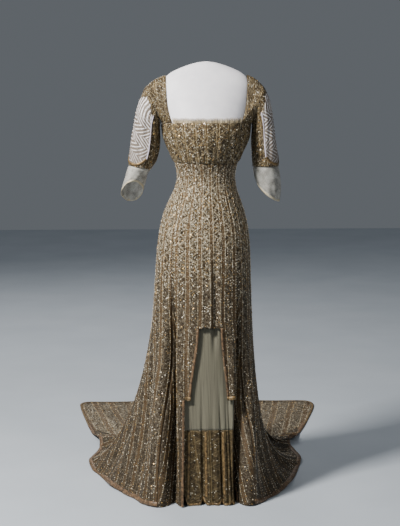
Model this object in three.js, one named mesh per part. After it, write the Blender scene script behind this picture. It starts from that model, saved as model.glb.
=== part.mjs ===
// A trained ball gown of striped embroidered net, worn on a limbless dress form that stands on the floor.
// Millimetres, +Z up. The front faces -Y and the origin is under the middle of the stand's base.
//
// Every cloth piece is a thin wall. The form's surface comes from a table of level sections, the skirt's
// from a second table and a hem outline on the floor, and the pieces are cut from those surfaces by angle
// and height, so neighbouring pieces share one shape and stay a seam's gap apart.
import * as THREE from "three";

// Driving dimensions.
const CLOTH = 2; // thickness of a cloth wall
const SEAM = 0.3; // gap between two pieces that are sewn together
const EASE = 0.9; // gap between the gown and the form under it
const SEAT_Z = 1087; // height of the seam where the skirt joins the bodice
const SLIT_Z = 558; // height of the top of the front opening, where the skirt starts to flare
const NECK_Z = 1216; // height of the front neckline
const BACK_NECK_Z = 1238; // height of the back neckline
const UNDERARM_Z = 1207; // height of the bodice's top edge at the side
const TABS_V = 1.4; // how far down the skirt the two front tabs end, in skirt lengths
const POLE_RADIUS = 14;
const BASE_RADIUS = 125;
const BASE_HEIGHT = 14;

// Level sections of the form: half its width, and its depth in front of and behind the axis.
const FORM = [
  { z: 780, half: 130, front: 100, back: 120 },
  { z: 786, half: 135, front: 104, back: 125 },
  { z: 820, half: 136, front: 108, back: 128 },
  { z: 860, half: 131, front: 108, back: 125 },
  { z: 900, half: 121, front: 102, back: 115 },
  { z: 940, half: 109, front: 96, back: 103 },
  { z: 980, half: 98, front: 91, back: 93 },
  { z: 1010, half: 93, front: 88, back: 87 },
  { z: 1036, half: 91, front: 87, back: 85 },
  { z: 1060, half: 94, front: 90, back: 85 },
  { z: 1087, half: 101, front: 98, back: 88 },
  { z: 1123, half: 118, front: 110, back: 94 },
  { z: 1150, half: 130, front: 118, back: 99 },
  { z: 1177, half: 139, front: 121, back: 104 },
  { z: 1205, half: 143, front: 118, back: 108 },
  { z: 1235, half: 147, front: 108, back: 110 },
  { z: 1265, half: 150, front: 96, back: 108 },
  { z: 1295, half: 152, front: 84, back: 101 },
  { z: 1320, half: 151, front: 73, back: 90 },
  { z: 1340, half: 146, front: 63, back: 77 },
  { z: 1355, half: 137, front: 54, back: 65 },
  { z: 1368, half: 124, front: 45, back: 55 },
  { z: 1380, half: 105, front: 37, back: 47 },
  { z: 1391, half: 80, front: 31, back: 40 },
  { z: 1400, half: 55, front: 25, back: 33 },
  { z: 1407, half: 30, front: 17, back: 22 },
  { z: 1410, half: 12, front: 8, back: 10 },
];

// Level sections of the inside of the skirt from the seam down to the front opening.
const SKIRT = [
  { z: 558, left: 177, right: 151, front: 144, back: 176 },
  { z: 615, left: 172, right: 149, front: 137, back: 166 },
  { z: 700, left: 166, right: 146, front: 128, back: 154 },
  { z: 787, left: 160, right: 143, front: 120, back: 144 },
  { z: 854, left: 152, right: 138, front: 113.5, back: 134 },
  { z: 915, left: 138, right: 126, front: 105, back: 119 },
  { z: 955, left: 121, right: 113, front: 99, back: 106 },
  { z: 980, left: 109, right: 104, front: 95, back: 98 },
  { z: 1010, left: 97, right: 95, front: 90, back: 90 },
  { z: 1036, left: 92.5, right: 92, front: 88, back: 86 },
  { z: 1060, left: 94.5, right: 94.5, front: 90.5, back: 85.5 },
  { z: 1087, left: 101.5, right: 101.5, front: 98.5, back: 88.5 },
];

// The hem's outline on the floor by angle from the front, positive towards +X, and how each fall of cloth
// gets there: "mid" and "low" are shares of the way out, at the heights "midZ" and "lowZ".
const HEM = [
  { turn: -180, x: 12, y: 1150, mid: 0.05, midZ: 15, low: 0.34, lowZ: 0 },
  { turn: -172, x: -140, y: 1148, mid: 0.05, midZ: 15, low: 0.34, lowZ: 0 },
  { turn: -164, x: -300, y: 1138, mid: 0.05, midZ: 20, low: 0.34, lowZ: 0 },
  { turn: -157, x: -440, y: 1122, mid: 0.06, midZ: 30, low: 0.34, lowZ: 2 },
  { turn: -153, x: -470, y: 1080, mid: 0.07, midZ: 40, low: 0.34, lowZ: 4 },
  { turn: -146, x: -440, y: 850, mid: 0.09, midZ: 70, low: 0.36, lowZ: 8 },
  { turn: -138, x: -405, y: 640, mid: 0.11, midZ: 100, low: 0.38, lowZ: 15 },
  { turn: -130, x: -368, y: 492, mid: 0.13, midZ: 130, low: 0.4, lowZ: 25 },
  { turn: -122, x: -378, y: 408, mid: 0.15, midZ: 160, low: 0.45, lowZ: 35 },
  { turn: -112, x: -400, y: 295, mid: 0.18, midZ: 195, low: 0.52, lowZ: 45 },
  { turn: -100, x: -390, y: 180, mid: 0.2, midZ: 220, low: 0.57, lowZ: 55 },
  { turn: -88, x: -350, y: 60, mid: 0.22, midZ: 230, low: 0.6, lowZ: 65 },
  { turn: -76, x: -303, y: -45, mid: 0.27, midZ: 240, low: 0.63, lowZ: 80 },
  { turn: -64, x: -250, y: -155, mid: 0.35, midZ: 255, low: 0.68, lowZ: 100 },
  { turn: -52, x: -200, y: -230, mid: 0.43, midZ: 270, low: 0.72, lowZ: 125 },
  { turn: -40, x: -140, y: -252, mid: 0.5, midZ: 279, low: 0.75, lowZ: 140 },
  { turn: -20, x: -70, y: -255, mid: 0.5, midZ: 279, low: 0.75, lowZ: 140 },
  { turn: 0, x: 3, y: -252, mid: 0.5, midZ: 279, low: 0.75, lowZ: 140 },
  { turn: 20, x: 58, y: -255, mid: 0.5, midZ: 279, low: 0.75, lowZ: 140 },
  { turn: 40, x: 110, y: -250, mid: 0.48, midZ: 279, low: 0.73, lowZ: 135 },
  { turn: 52, x: 160, y: -228, mid: 0.38, midZ: 265, low: 0.62, lowZ: 110 },
  { turn: 64, x: 212, y: -165, mid: 0.25, midZ: 245, low: 0.48, lowZ: 75 },
  { turn: 76, x: 262, y: -70, mid: 0.13, midZ: 225, low: 0.36, lowZ: 45 },
  { turn: 88, x: 300, y: 35, mid: 0.08, midZ: 210, low: 0.3, lowZ: 30 },
  { turn: 100, x: 333, y: 165, mid: 0.07, midZ: 195, low: 0.28, lowZ: 22 },
  { turn: 112, x: 350, y: 290, mid: 0.07, midZ: 170, low: 0.28, lowZ: 20 },
  { turn: 122, x: 342, y: 400, mid: 0.07, midZ: 145, low: 0.3, lowZ: 20 },
  { turn: 130, x: 330, y: 478, mid: 0.07, midZ: 120, low: 0.32, lowZ: 18 },
  { turn: 138, x: 382, y: 610, mid: 0.07, midZ: 90, low: 0.33, lowZ: 12 },
  { turn: 146, x: 440, y: 820, mid: 0.07, midZ: 60, low: 0.34, lowZ: 6 },
  { turn: 153, x: 490, y: 1060, mid: 0.06, midZ: 40, low: 0.34, lowZ: 3 },
  { turn: 157, x: 465, y: 1116, mid: 0.06, midZ: 30, low: 0.34, lowZ: 2 },
  { turn: 164, x: 320, y: 1134, mid: 0.05, midZ: 20, low: 0.34, lowZ: 0 },
  { turn: 172, x: 165, y: 1146, mid: 0.05, midZ: 15, low: 0.34, lowZ: 0 },
  { turn: 180, x: 12, y: 1150, mid: 0.05, midZ: 15, low: 0.34, lowZ: 0 },
];

// The skirt's folds: a fold at "turn" is "spread" degrees to each side and stands "out" from the plain
// surface, or sinks into it where "out" is negative. It grows from "from" to its full size at "full" and
// has faded by "gone", all in skirt lengths: 0 at the bodice seam, 1 at the front opening, 2 at the hem.
// Below the opening it leans by up to "lean" degrees on its way to the hem.
const FOLDS = [
  { turn: -40, spread: 10, out: -36, from: 0.75, full: 1.5, gone: 3, lean: 7.5 },
  { turn: -28, spread: 7, out: 9, from: 0.8, full: 1.5, gone: 3, lean: 4 },
  { turn: 9, spread: 6, out: -11, from: 0.35, full: 0.95, gone: 1.2, lean: 0 },
  { turn: 31, spread: 6, out: 9, from: 0.8, full: 1.5, gone: 3, lean: -4 },
  { turn: 43, spread: 10, out: -36, from: 0.8, full: 1.5, gone: 3, lean: -8 },
  { turn: 56, spread: 9, out: 18, from: 0.9, full: 1.6, gone: 3, lean: -10 },
  { turn: 70, spread: 8, out: -15, from: 1.0, full: 1.6, gone: 2.3, lean: -8 },
  { turn: 84, spread: 9, out: 12, from: 0.9, full: 1.7, gone: 2.6, lean: -4 },
  { turn: 97, spread: 8, out: -12, from: 0.8, full: 1.6, gone: 2.3, lean: 0 },
  { turn: 110, spread: 9, out: 16, from: 0.6, full: 1.6, gone: 2.4, lean: 0 },
  { turn: -54, spread: 9, out: 14, from: 0.9, full: 1.6, gone: 3, lean: 8 },
  { turn: -67, spread: 8, out: -13, from: 0.9, full: 1.6, gone: 2.3, lean: 5 },
  { turn: -80, spread: 9, out: 14, from: 0.9, full: 1.7, gone: 2.6, lean: 2 },
  { turn: -93, spread: 8, out: -12, from: 0.8, full: 1.6, gone: 2.3, lean: 0 },
  { turn: -107, spread: 9, out: 18, from: 0.6, full: 1.6, gone: 2.4, lean: 0 },
  { turn: -122, spread: 8, out: -16, from: 0.5, full: 1.4, gone: 2.2, lean: 0 },
  { turn: 124, spread: 8, out: -16, from: 0.5, full: 1.4, gone: 2.2, lean: 0 },
  { turn: -132, spread: 7, out: 46, from: 0.7, full: 1.7, gone: 2.25, lean: 0 },
  { turn: 133, spread: 7, out: 42, from: 0.7, full: 1.7, gone: 2.25, lean: 0 },
  { turn: -144, spread: 7, out: -20, from: 0.35, full: 1.2, gone: 1.9, lean: 0 },
  { turn: 145, spread: 7, out: -20, from: 0.35, full: 1.2, gone: 1.9, lean: 0 },
  { turn: -156, spread: 8, out: 22, from: 0.25, full: 1.3, gone: 2.3, lean: 0 },
  { turn: 157, spread: 8, out: 20, from: 0.25, full: 1.3, gone: 2.2, lean: 0 },
  { turn: -168, spread: 7, out: -16, from: 0.2, full: 1.1, gone: 1.9, lean: 0 },
  { turn: 169, spread: 7, out: -14, from: 0.2, full: 1.1, gone: 1.9, lean: 0 },
  { turn: 180, spread: 8, out: 20, from: 0.2, full: 1.3, gone: 2.4, lean: 0 },
];
const LEAN_FROM = 1.15; // how far down the skirt its folds start to lean

// The angles of the two seams beside the front panel, and the gores of the overskirt by their two edges.
const FRONT_SEAMS = [-45, 48];
const GORES = [
  { name: "overskirt_side_left", from: -104, to: FRONT_SEAMS[0], columns: 14 },
  { name: "overskirt_side_right", from: FRONT_SEAMS[1], to: 106, columns: 14 },
  { name: "overskirt_back_left", from: -143, to: -104, columns: 11 },
  { name: "overskirt_back_right", from: 106, to: 144, columns: 11 },
  { name: "train", from: 144, to: 217, columns: 18 },
];

// Rings of a sleeve from the armhole down: the ring's ends nearest to and farthest from the body, seen from
// the front, the ring's middle from front to back, and half its size from front to back.
const SLEEVE = {
  left: [
    { innerX: 148.5, innerZ: 1212, outerX: 196, outerZ: 1331, y: 0, deep: 54 },
    { innerX: 150, innerZ: 1202, outerX: 210, outerZ: 1298, y: -1, deep: 54 },
    { innerX: 151, innerZ: 1189, outerX: 226, outerZ: 1249, y: -2, deep: 53 },
    { innerX: 151.5, innerZ: 1165, outerX: 236, outerZ: 1198, y: -3, deep: 51 },
    { innerX: 153, innerZ: 1130, outerX: 245, outerZ: 1152, y: -4, deep: 50 },
    { innerX: 163, innerZ: 1092, outerX: 250, outerZ: 1112, y: -6, deep: 48 },
    { innerX: 180, innerZ: 1064, outerX: 254, outerZ: 1078, y: -8, deep: 45 },
  ],
  right: [
    { innerX: 148.5, innerZ: 1212, outerX: 188, outerZ: 1328, y: 0, deep: 54 },
    { innerX: 150, innerZ: 1202, outerX: 203, outerZ: 1295, y: 0, deep: 54 },
    { innerX: 150, innerZ: 1189, outerX: 214, outerZ: 1248, y: 0, deep: 53 },
    { innerX: 150, innerZ: 1165, outerX: 221, outerZ: 1198, y: 0, deep: 51 },
    { innerX: 150, innerZ: 1132, outerX: 228, outerZ: 1150, y: 0, deep: 50 },
    { innerX: 150.5, innerZ: 1100, outerX: 234, outerZ: 1110, y: 0, deep: 49 },
    { innerX: 152, innerZ: 1072, outerX: 238, outerZ: 1072, y: 0, deep: 47 },
  ],
};

// Rings of the sheer lower sleeve below the end of the upper one, which it is sewn inside. "open" is how
// much higher the ring's front is than its ends, and how much lower its back.
const CUFF = {
  left: [
    { innerX: 192, innerZ: 1046, outerX: 261, outerZ: 1050, y: -9, deep: 40, open: 2 },
    { innerX: 199, innerZ: 1022, outerX: 269, outerZ: 1020, y: -10, deep: 37, open: 14 },
    { innerX: 207, innerZ: 999, outerX: 276, outerZ: 988, y: -11, deep: 35, open: 35 },
  ],
  right: [
    { innerX: 156, innerZ: 1050, outerX: 242, outerZ: 1046, y: -2, deep: 44, open: 0 },
    { innerX: 160, innerZ: 1034, outerX: 245, outerZ: 1004, y: -3, deep: 41, open: -4 },
    { innerX: 168, innerZ: 1016, outerX: 240, outerZ: 961, y: -4, deep: 38, open: -12 },
  ],
};

// The columns of the sleeve's grid that the pale lace panel covers.
const LACE_COLUMNS = { left: [0, 7], right: [18, 24] };

const COLOURS = {
  form: { color: 0xece8ec, roughness: 0.85, metalness: 0 },
  stand: { color: 0x2b2a2c, roughness: 0.45, metalness: 0.7 },
  net: { color: 0x8f7658, roughness: 0.6, metalness: 0.15 },
  lace: { color: 0xd9d2d4, roughness: 0.8, metalness: 0 },
  sheer: { color: 0xc9cdc4, roughness: 0.75, metalness: 0 },
  chiffon: { color: 0xb3b090, roughness: 0.7, metalness: 0 },
};

// Small tools.
const radians = THREE.MathUtils.degToRad;
const lerp = THREE.MathUtils.lerp;
const range = (count) => [...Array(count).keys()];
const ramp = (at, from, to) => THREE.MathUtils.smoothstep(at, from, to);

// A smooth curve through one named column of a table whose rows are sorted by another column.
function curve(rows, by, name) {
  const at = rows.map((row) => row[by]);
  const value = rows.map((row) => row[name]);
  const slope = range(rows.length - 1).map((i) => (value[i + 1] - value[i]) / (at[i + 1] - at[i]));
  const tangent = rows.map((_, i) => {
    if (i === 0) return slope[0];
    if (i === rows.length - 1) return slope[i - 1];
    if (slope[i - 1] * slope[i] <= 0) return 0;
    return (2 * slope[i - 1] * slope[i]) / (slope[i - 1] + slope[i]);
  });
  return (where) => {
    const x = THREE.MathUtils.clamp(where, at[0], at[at.length - 1]);
    const i = Math.min(at.length - 2, Math.max(0, at.findIndex((edge) => edge > x) - 1));
    const k = at[at.length - 1] <= x ? at.length - 2 : i;
    const step = at[k + 1] - at[k];
    const s = (x - at[k]) / step;
    return (
      value[k] * (1 + 2 * s) * (1 - s) ** 2 +
      tangent[k] * step * s * (1 - s) ** 2 +
      value[k + 1] * s * s * (3 - 2 * s) +
      tangent[k + 1] * step * s * s * (s - 1)
    );
  };
}

// All the columns of a table as curves: columns(TABLE, "z").half(900).
function columns(rows, by) {
  const names = Object.keys(rows[0]).filter((name) => name !== by);
  return Object.fromEntries(names.map((name) => [name, curve(rows, by, name)]));
}

const form = columns(FORM, "z");
const skirt = columns(SKIRT, "z");
const hem = columns(HEM, "turn");

// A point on a level section at an angle from the front.
function onSection(turn, left, right, front, back, z) {
  const a = radians(turn);
  const across = Math.sin(a) < 0 ? left : right;
  const along = Math.cos(a) > 0 ? front : back;
  return new THREE.Vector3(across * Math.sin(a), -along * Math.cos(a), z);
}

// The form's surface, moved out by a gap.
function onForm(turn, z, out = 0) {
  const half = form.half(z) + out;
  return onSection(turn, half, half, form.front(z) + out, form.back(z) + out, z);
}

// The inside of the skirt above the front opening, by height.
function onSkirt(turn, z) {
  return onSection(turn, skirt.left(z), skirt.right(z), skirt.front(z), skirt.back(z), z);
}

const aroundHalfTurn = (turn) => THREE.MathUtils.euclideanModulo(turn + 180, 360) - 180;

// The plain inside of the skirt: down is 0 at the bodice seam, 1 at the front opening and 2 at the hem.
function plainSkirt(turn, down) {
  if (down <= 1) return onSkirt(turn, lerp(SEAT_Z, SLIT_Z, down));
  const side = aroundHalfTurn(turn);
  const t = down - 1;
  const top = onSkirt(turn, SLIT_Z);
  const above = onSkirt(turn, SLIT_Z + 1);
  const drop = SLIT_Z * 0.28;
  const end = new THREE.Vector3(hem.x(side), hem.y(side), 0);
  const away = (share, z) => new THREE.Vector3(lerp(top.x, end.x, share), lerp(top.y, end.y, share), z);
  const controls = [
    top,
    top.clone().addScaledVector(top.clone().sub(above), drop),
    away(hem.mid(side), hem.midZ(side)),
    away(hem.low(side), hem.lowZ(side)),
    end,
  ];
  const weights = [1, 4, 6, 4, 1].map((n, k) => n * (1 - t) ** (4 - k) * t ** k);
  return controls.reduce((sum, point, k) => sum.addScaledVector(point, weights[k]), new THREE.Vector3());
}

// How far the folds stand out of the plain skirt.
function foldOut(turn, down) {
  const leaning = ramp(down, LEAN_FROM, 2);
  return FOLDS.reduce((sum, fold) => {
    const away = Math.abs(aroundHalfTurn(turn - fold.turn - fold.lean * leaning)) / fold.spread;
    if (away >= 1) return sum;
    const grown = ramp(down, fold.from, fold.full) * (1 - ramp(down, fold.full, fold.gone));
    return sum + (fold.out * grown * (1 + Math.cos(Math.PI * away))) / 2;
  }, 0);
}

// The skirt's surface with its folds. "out" moves the whole layer out, or in where it is negative.
function foldedSkirt(turn, down, out) {
  const point = plainSkirt(turn, down);
  point.addScaledVector(normalOf(plainSkirt, turn, down), foldOut(turn, down) + out);
  point.z = Math.max(0, point.z);
  return point;
}

// The outward normal of a surface whose angle grows to the right and whose second value grows downwards.
function normalOf(surface, turn, down) {
  const low = Math.min(2, down + 0.02);
  const high = Math.max(0, down - 0.02);
  const across = surface(turn + 0.5, down, 0).sub(surface(turn - 0.5, down, 0));
  const along = surface(turn, low, 0).sub(surface(turn, high, 0));
  const normal = along.cross(across).normalize();
  normal.z *= ramp(down, 0, 0.15);
  return normal.normalize();
}

// Both faces of the skirt's wall at a point: the inner one, and the outer one a cloth's thickness away.
function skirtFaces(turn, down, out = 0) {
  const inner = foldedSkirt(turn, down, out);
  const outer = inner.clone().addScaledVector(normalOf(foldedSkirt, turn, down), CLOTH);
  outer.z = Math.max(0, outer.z);
  return { inner, outer };
}

// A closed wall of cloth between two grids of points, faces[row][column] = { inner, outer }. keep(row,
// column) leaves cells out, and "round" joins the last column to the first. The columns run to the right
// as seen from outside, and the rows down.
function wall(faces, { round = false, keep = () => true } = {}) {
  const rows = faces.length;
  const wide = faces[0].length;
  const cells = round ? wide : wide - 1;
  const kept = (r, c) => {
    const column = round ? (c + cells) % cells : c;
    return r >= 0 && r < rows - 1 && column >= 0 && column < cells && keep(r, column);
  };
  const corners = [];
  const quad = (a, b, c, d) => corners.push(a, b, c, a, c, d);
  const out = (r, c) => faces[r][c % wide].outer;
  const inn = (r, c) => faces[r][c % wide].inner;
  for (const r of range(rows - 1)) {
    for (const c of range(cells)) {
      if (!kept(r, c)) continue;
      quad(out(r, c), out(r + 1, c), out(r + 1, c + 1), out(r, c + 1));
      quad(inn(r, c), inn(r, c + 1), inn(r + 1, c + 1), inn(r + 1, c));
      if (!kept(r - 1, c)) quad(inn(r, c), out(r, c), out(r, c + 1), inn(r, c + 1));
      if (!kept(r + 1, c)) quad(out(r + 1, c), inn(r + 1, c), inn(r + 1, c + 1), out(r + 1, c + 1));
      if (!kept(r, c - 1)) quad(inn(r, c), inn(r + 1, c), out(r + 1, c), out(r, c));
      if (!kept(r, c + 1)) quad(out(r, c + 1), out(r + 1, c + 1), inn(r + 1, c + 1), inn(r, c + 1));
    }
  }
  return new THREE.BufferGeometry().setFromPoints(corners);
}

const gown = new THREE.Group();

function add(name, geometry, look) {
  geometry.computeVertexNormals();
  const mesh = new THREE.Mesh(geometry, new THREE.MeshStandardMaterial(COLOURS[look]));
  mesh.name = name;
  gown.add(mesh);
  return mesh;
}

// A grid from a function of the share across (0 to 1) and the share down (0 to 1).
function sheet(down, across, point) {
  return range(down + 1).map((r) => range(across + 1).map((c) => point(c / across, r / down)));
}

// Moves an angle inwards from a seam by half the seam's gap, at a given distance from the axis.
const seamTurn = (reach) => THREE.MathUtils.radToDeg(SEAM / 2 / reach);

// The dress form: closed rings from the bottom to the dome, with a point at each end.
function dressForm() {
  const around = 36;
  const faces = [];
  const rings = FORM.map((row) => range(around).map((k) => onForm((k * 360) / around, row.z)));
  const bottom = new THREE.Vector3(0, 0, FORM[0].z);
  const top = new THREE.Vector3(0, 0, 1411);
  range(around).forEach((k) => {
    const next = (k + 1) % around;
    faces.push(bottom, rings[0][next], rings[0][k]);
    rings.slice(1).forEach((ring, r) => {
      const below = rings[r];
      faces.push(below[k], below[next], ring[next], below[k], ring[next], ring[k]);
    });
    const last = rings[rings.length - 1];
    faces.push(last[k], last[next], top);
  });
  add("dress_form", new THREE.BufferGeometry().setFromPoints(faces), "form");
}

// The stand: a turned base with a pole that ends just under the form.
function stand() {
  const profile = [
    [0, 0],
    [BASE_RADIUS, 0],
    [BASE_RADIUS, BASE_HEIGHT * 0.6],
    [BASE_RADIUS - 8, BASE_HEIGHT],
    [POLE_RADIUS * 1.8, BASE_HEIGHT + 4],
    [POLE_RADIUS, BASE_HEIGHT + 30],
    [POLE_RADIUS, FORM[0].z - 12],
    [POLE_RADIUS * 2.5, FORM[0].z - 12],
    [POLE_RADIUS * 2.5, FORM[0].z - SEAM],
    [0, FORM[0].z - SEAM],
  ].map(([r, z]) => new THREE.Vector2(r, z));
  const turned = new THREE.LatheGeometry(profile, 28);
  turned.rotateX(Math.PI / 2);
  add("stand", turned, "stand");
}

// The front and back of the bodice, from the seam up to the neckline and down to the underarm.
const CORNER = 50; // angle of the square neckline's corner
const SIDE = 88; // angle where the bodice's top edge reaches the side

function bodiceTop(turn, neckZ) {
  return lerp(neckZ, UNDERARM_Z, ramp(Math.abs(turn), CORNER, SIDE));
}

function bodice(name, middle, neckZ) {
  const edge = 90 - seamTurn(form.half(UNDERARM_Z));
  const faces = sheet(7, 26, (u, v) => {
    const turn = lerp(-edge, edge, u);
    const z = lerp(bodiceTop(turn, neckZ), SEAT_Z + SEAM, v);
    const rib = 1.5 * (1 + Math.cos(radians(turn) * 18)) * ramp(v, 0, 0.4) * (1 - ramp(v, 0.6, 1));
    const out = EASE + (middle === 0 ? rib : 0);
    return { inner: onForm(turn + middle, z, out), outer: onForm(turn + middle, z, out + CLOTH) };
  });
  add(name, wall(faces), "net");
}

// The gathered net frill that stands just above the front neckline, inside the bodice's edge.
function neckFrill() {
  const faces = sheet(2, 26, (u, v) => {
    const turn = lerp(-CORNER + 2, CORNER - 2, u);
    const gather = 1.3 * Math.cos(u * Math.PI * 26) * (1 - v);
    const z = NECK_Z + lerp(17 + 1.5 * Math.cos(u * 31), SEAM + 0.3, v);
    return {
      inner: onForm(turn, z, EASE + 0.3 + 1.3 + gather),
      outer: onForm(turn, z, EASE + 0.3 + 1.3 + gather + 1.2),
    };
  });
  add("neck_frill", wall(faces), "sheer");
}

// The gores of the skirt, which run from the bodice seam to the hem.
const DOWN_ROWS = 19;
const SLIT_ROW = 8;

function downAt(row) {
  return row <= SLIT_ROW ? row / SLIT_ROW : 1 + (row - SLIT_ROW) / (DOWN_ROWS - 1 - SLIT_ROW);
}

function gore({ name, from, to, columns: count }) {
  const inset = seamTurn(90);
  const faces = range(DOWN_ROWS).map((row) =>
    range(count + 1).map((c) => skirtFaces(lerp(from + inset, to - inset, c / count), downAt(row))),
  );
  add(name, wall(faces), "net");
}

// The front of the overskirt: whole down to the opening, then two tabs beside it, then the outer parts.
const FRONT_EDGES = [
  { down: 0, outerLeft: -23, left: -9.4, right: 15.6, outerRight: 36 },
  { down: 1, outerLeft: -23, left: -9.4, right: 15.6, outerRight: 36 },
  { down: TABS_V, outerLeft: -23.5, left: -17.4, right: 22.5, outerRight: 36 },
  { down: 2, outerLeft: -23.5, left: -18, right: 26, outerRight: 36 },
];
const FRONT_COLUMNS = [5, 2, 4, 3, 4];

function overskirtFront() {
  const edges = columns(FRONT_EDGES, "down");
  const inset = seamTurn(90);
  const lines = (down) => {
    const stops = [
      FRONT_SEAMS[0] + inset,
      edges.outerLeft(down),
      edges.left(down),
      edges.right(down),
      edges.outerRight(down),
      FRONT_SEAMS[1] - inset,
    ];
    return FRONT_COLUMNS.flatMap((count, k) =>
      range(count).map((c) => lerp(stops[k], stops[k + 1], c / count)),
    ).concat(stops[5]);
  };
  const faces = range(DOWN_ROWS).map((row) => lines(downAt(row)).map((turn) => skirtFaces(turn, downAt(row))));
  const starts = FRONT_COLUMNS.map((_, k) => FRONT_COLUMNS.slice(0, k).reduce((a, b) => a + b, 0));
  const part = (column) => starts.filter((start) => start <= column).length - 1;
  const keep = (row, column) => {
    const down = downAt(row);
    const block = part(column);
    if (down < 1) return true;
    if (down < TABS_V - 0.01) return block !== 2;
    return block === 0 || block === 4;
  };
  add("overskirt_front", wall(faces, { keep }), "net");
}

// The plain underskirt that shows in the opening, and the embroidered border at its hem.
const UNDER_GAP = 12; // how far the underskirt lies behind the overskirt
const BORDER_V = 1.57; // where the border starts

function underskirtFaces(turn, down) {
  const pleat = 2.5 * Math.cos(radians(turn) * 22) * ramp(down, 0.9, 1.3);
  return skirtFaces(turn, down, -UNDER_GAP + pleat);
}

function underskirt() {
  const panel = sheet(8, 22, (u, v) => underskirtFaces(lerp(-28, 40, u), lerp(0.9, BORDER_V - 0.001, v)));
  add("underskirt_front", wall(panel), "chiffon");
  const border = sheet(5, 22, (u, v) => underskirtFaces(lerp(-28, 40, u), lerp(BORDER_V, 2, v)));
  add("underskirt_border", wall(border), "net");
}

// A point on a sleeve's ring, by the angle from its outer end towards the front, moved out by "out". "side"
// is -1 for the sleeve at -X and 1 for the one at +X.
function ringPoint(row, side, turn, out = 0) {
  const a = radians(turn);
  const across = new THREE.Vector3(row.outerX - row.innerX, 0, row.outerZ - row.innerZ);
  const half = across.length() / 2;
  across.normalize();
  const point = new THREE.Vector3((row.outerX + row.innerX) / 2, row.y, (row.outerZ + row.innerZ) / 2);
  point.addScaledVector(across, Math.cos(a) * (half + out));
  point.y -= Math.sin(a) * (row.deep + out);
  point.z += (row.open ?? 0) * Math.sin(a);
  point.x *= side;
  return point;
}

// A table of rings as a function of the share of the way down.
function ringsAt(rings) {
  const table = rings.map((row, k) => ({ open: 0, ...row, at: k / (rings.length - 1) }));
  const smooth = columns(table, "at");
  return (at) => Object.fromEntries(Object.keys(smooth).map((name) => [name, smooth[name](at)]));
}

const sleeveFold = (turn, down) => 2.4 * Math.cos(radians(turn) * 5 + down * 4) * Math.sin(Math.PI * down);

// Both faces of a tube's wall. The angle runs so that the columns go to the right as seen from outside.
function tubeFaces(rows, side, around, thick, bulge) {
  return rows.map((row, r) =>
    range(around).map((k) => {
      const turn = (-side * k * 360) / around;
      const out = bulge(turn, r);
      return { inner: ringPoint(row, side, turn, out - thick), outer: ringPoint(row, side, turn, out) };
    }),
  );
}

const SLEEVE_ROWS = 9;
const SLEEVE_AROUND = 24;

function sleeveFaces(side, rings) {
  const at = ringsAt(rings);
  const rows = range(SLEEVE_ROWS + 1).map((k) => at(k / SLEEVE_ROWS));
  return tubeFaces(rows, side, SLEEVE_AROUND, CLOTH, (turn, r) => sleeveFold(turn, r / SLEEVE_ROWS));
}

// The sheer lower sleeve: two rings inside the end of the upper sleeve, then its own.
function cuff(name, side, rings, ownRings) {
  const sewnIn = [1 - 1 / SLEEVE_ROWS, 1].map(ringsAt(rings));
  const below = ringsAt([ringsAt(rings)(1), ...ownRings]);
  const rows = [...sewnIn, ...[0.25, 0.45, 0.65, 0.85, 1].map(below)];
  const inside = -CLOTH - SEAM;
  const bulge = (turn, r) => {
    if (r === 0) return inside + sleeveFold(turn, 1 - 1 / SLEEVE_ROWS);
    if (r === 1) return inside;
    return 1.6 * Math.cos(radians(turn) * 4) * (r / 6);
  };
  add(`cuff_${name}`, wall(tubeFaces(rows, side, SLEEVE_AROUND, 1.2, bulge), { round: true }), "sheer");
}

// The pale lace panel on a sleeve: a skin over the sleeve's own columns, with a round lower end.
function lacePanel(name, faces) {
  const [first, last] = LACE_COLUMNS[name];
  const middle = (first + last) / 2;
  const lace = [0.7, 1, 2, 3, 4, 5, 6, 7, 7.5, 8, 8.7].map((line) =>
    range(last - first + 1).map((c) => {
      const lean = Math.abs(first + c - middle) / (last - middle);
      const row = line > 7 ? lerp(7, line, 1 - 0.68 * lean ** 2.5) : line;
      const column = (first + c) % SLEEVE_AROUND;
      const above = faces[Math.floor(row)][column];
      const below = faces[Math.floor(row) + 1][column];
      const share = row % 1;
      const skin = above.outer.clone().lerp(below.outer, share);
      const out = skin.clone().sub(above.inner.clone().lerp(below.inner, share)).normalize();
      return {
        inner: skin.clone().addScaledVector(out, SEAM + 0.2),
        outer: skin.clone().addScaledVector(out, SEAM + 1.4),
      };
    }),
  );
  add(`sleeve_lace_${name}`, wall(lace), "lace");
}

// A shoulder piece lies round the armhole: its inner edge follows the front of the bodice from the side to
// the neckline's corner, the neckline over the shoulder, and the back of the bodice down again. Its outer
// edge meets the sleeve's first ring.
const EDGE_CORNERS = [0.26, 0.74]; // shares of the way round where the neckline's corners are
const RING_END = 145; // how far round the ring the piece reaches, from the top towards the underarm
const SHOULDER_GAP = 1.1; // gap beside the shoulder piece, where the edges it meets are curved

function innerEdge(side, v, out) {
  const [front, back] = EDGE_CORNERS;
  if (v <= front) {
    const turn = lerp(80, CORNER, v / front);
    return onForm(side * turn, bodiceTop(turn, NECK_Z) + SHOULDER_GAP, out);
  }
  if (v >= back) {
    const turn = lerp(CORNER, 80, (v - back) / (1 - back));
    return onForm(180 - side * turn, bodiceTop(turn, BACK_NECK_Z) + SHOULDER_GAP, out);
  }
  const share = (v - front) / (back - front);
  return neckEdge(side, share, out + 2 * Math.sin(Math.PI * share) ** 2);
}

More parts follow.
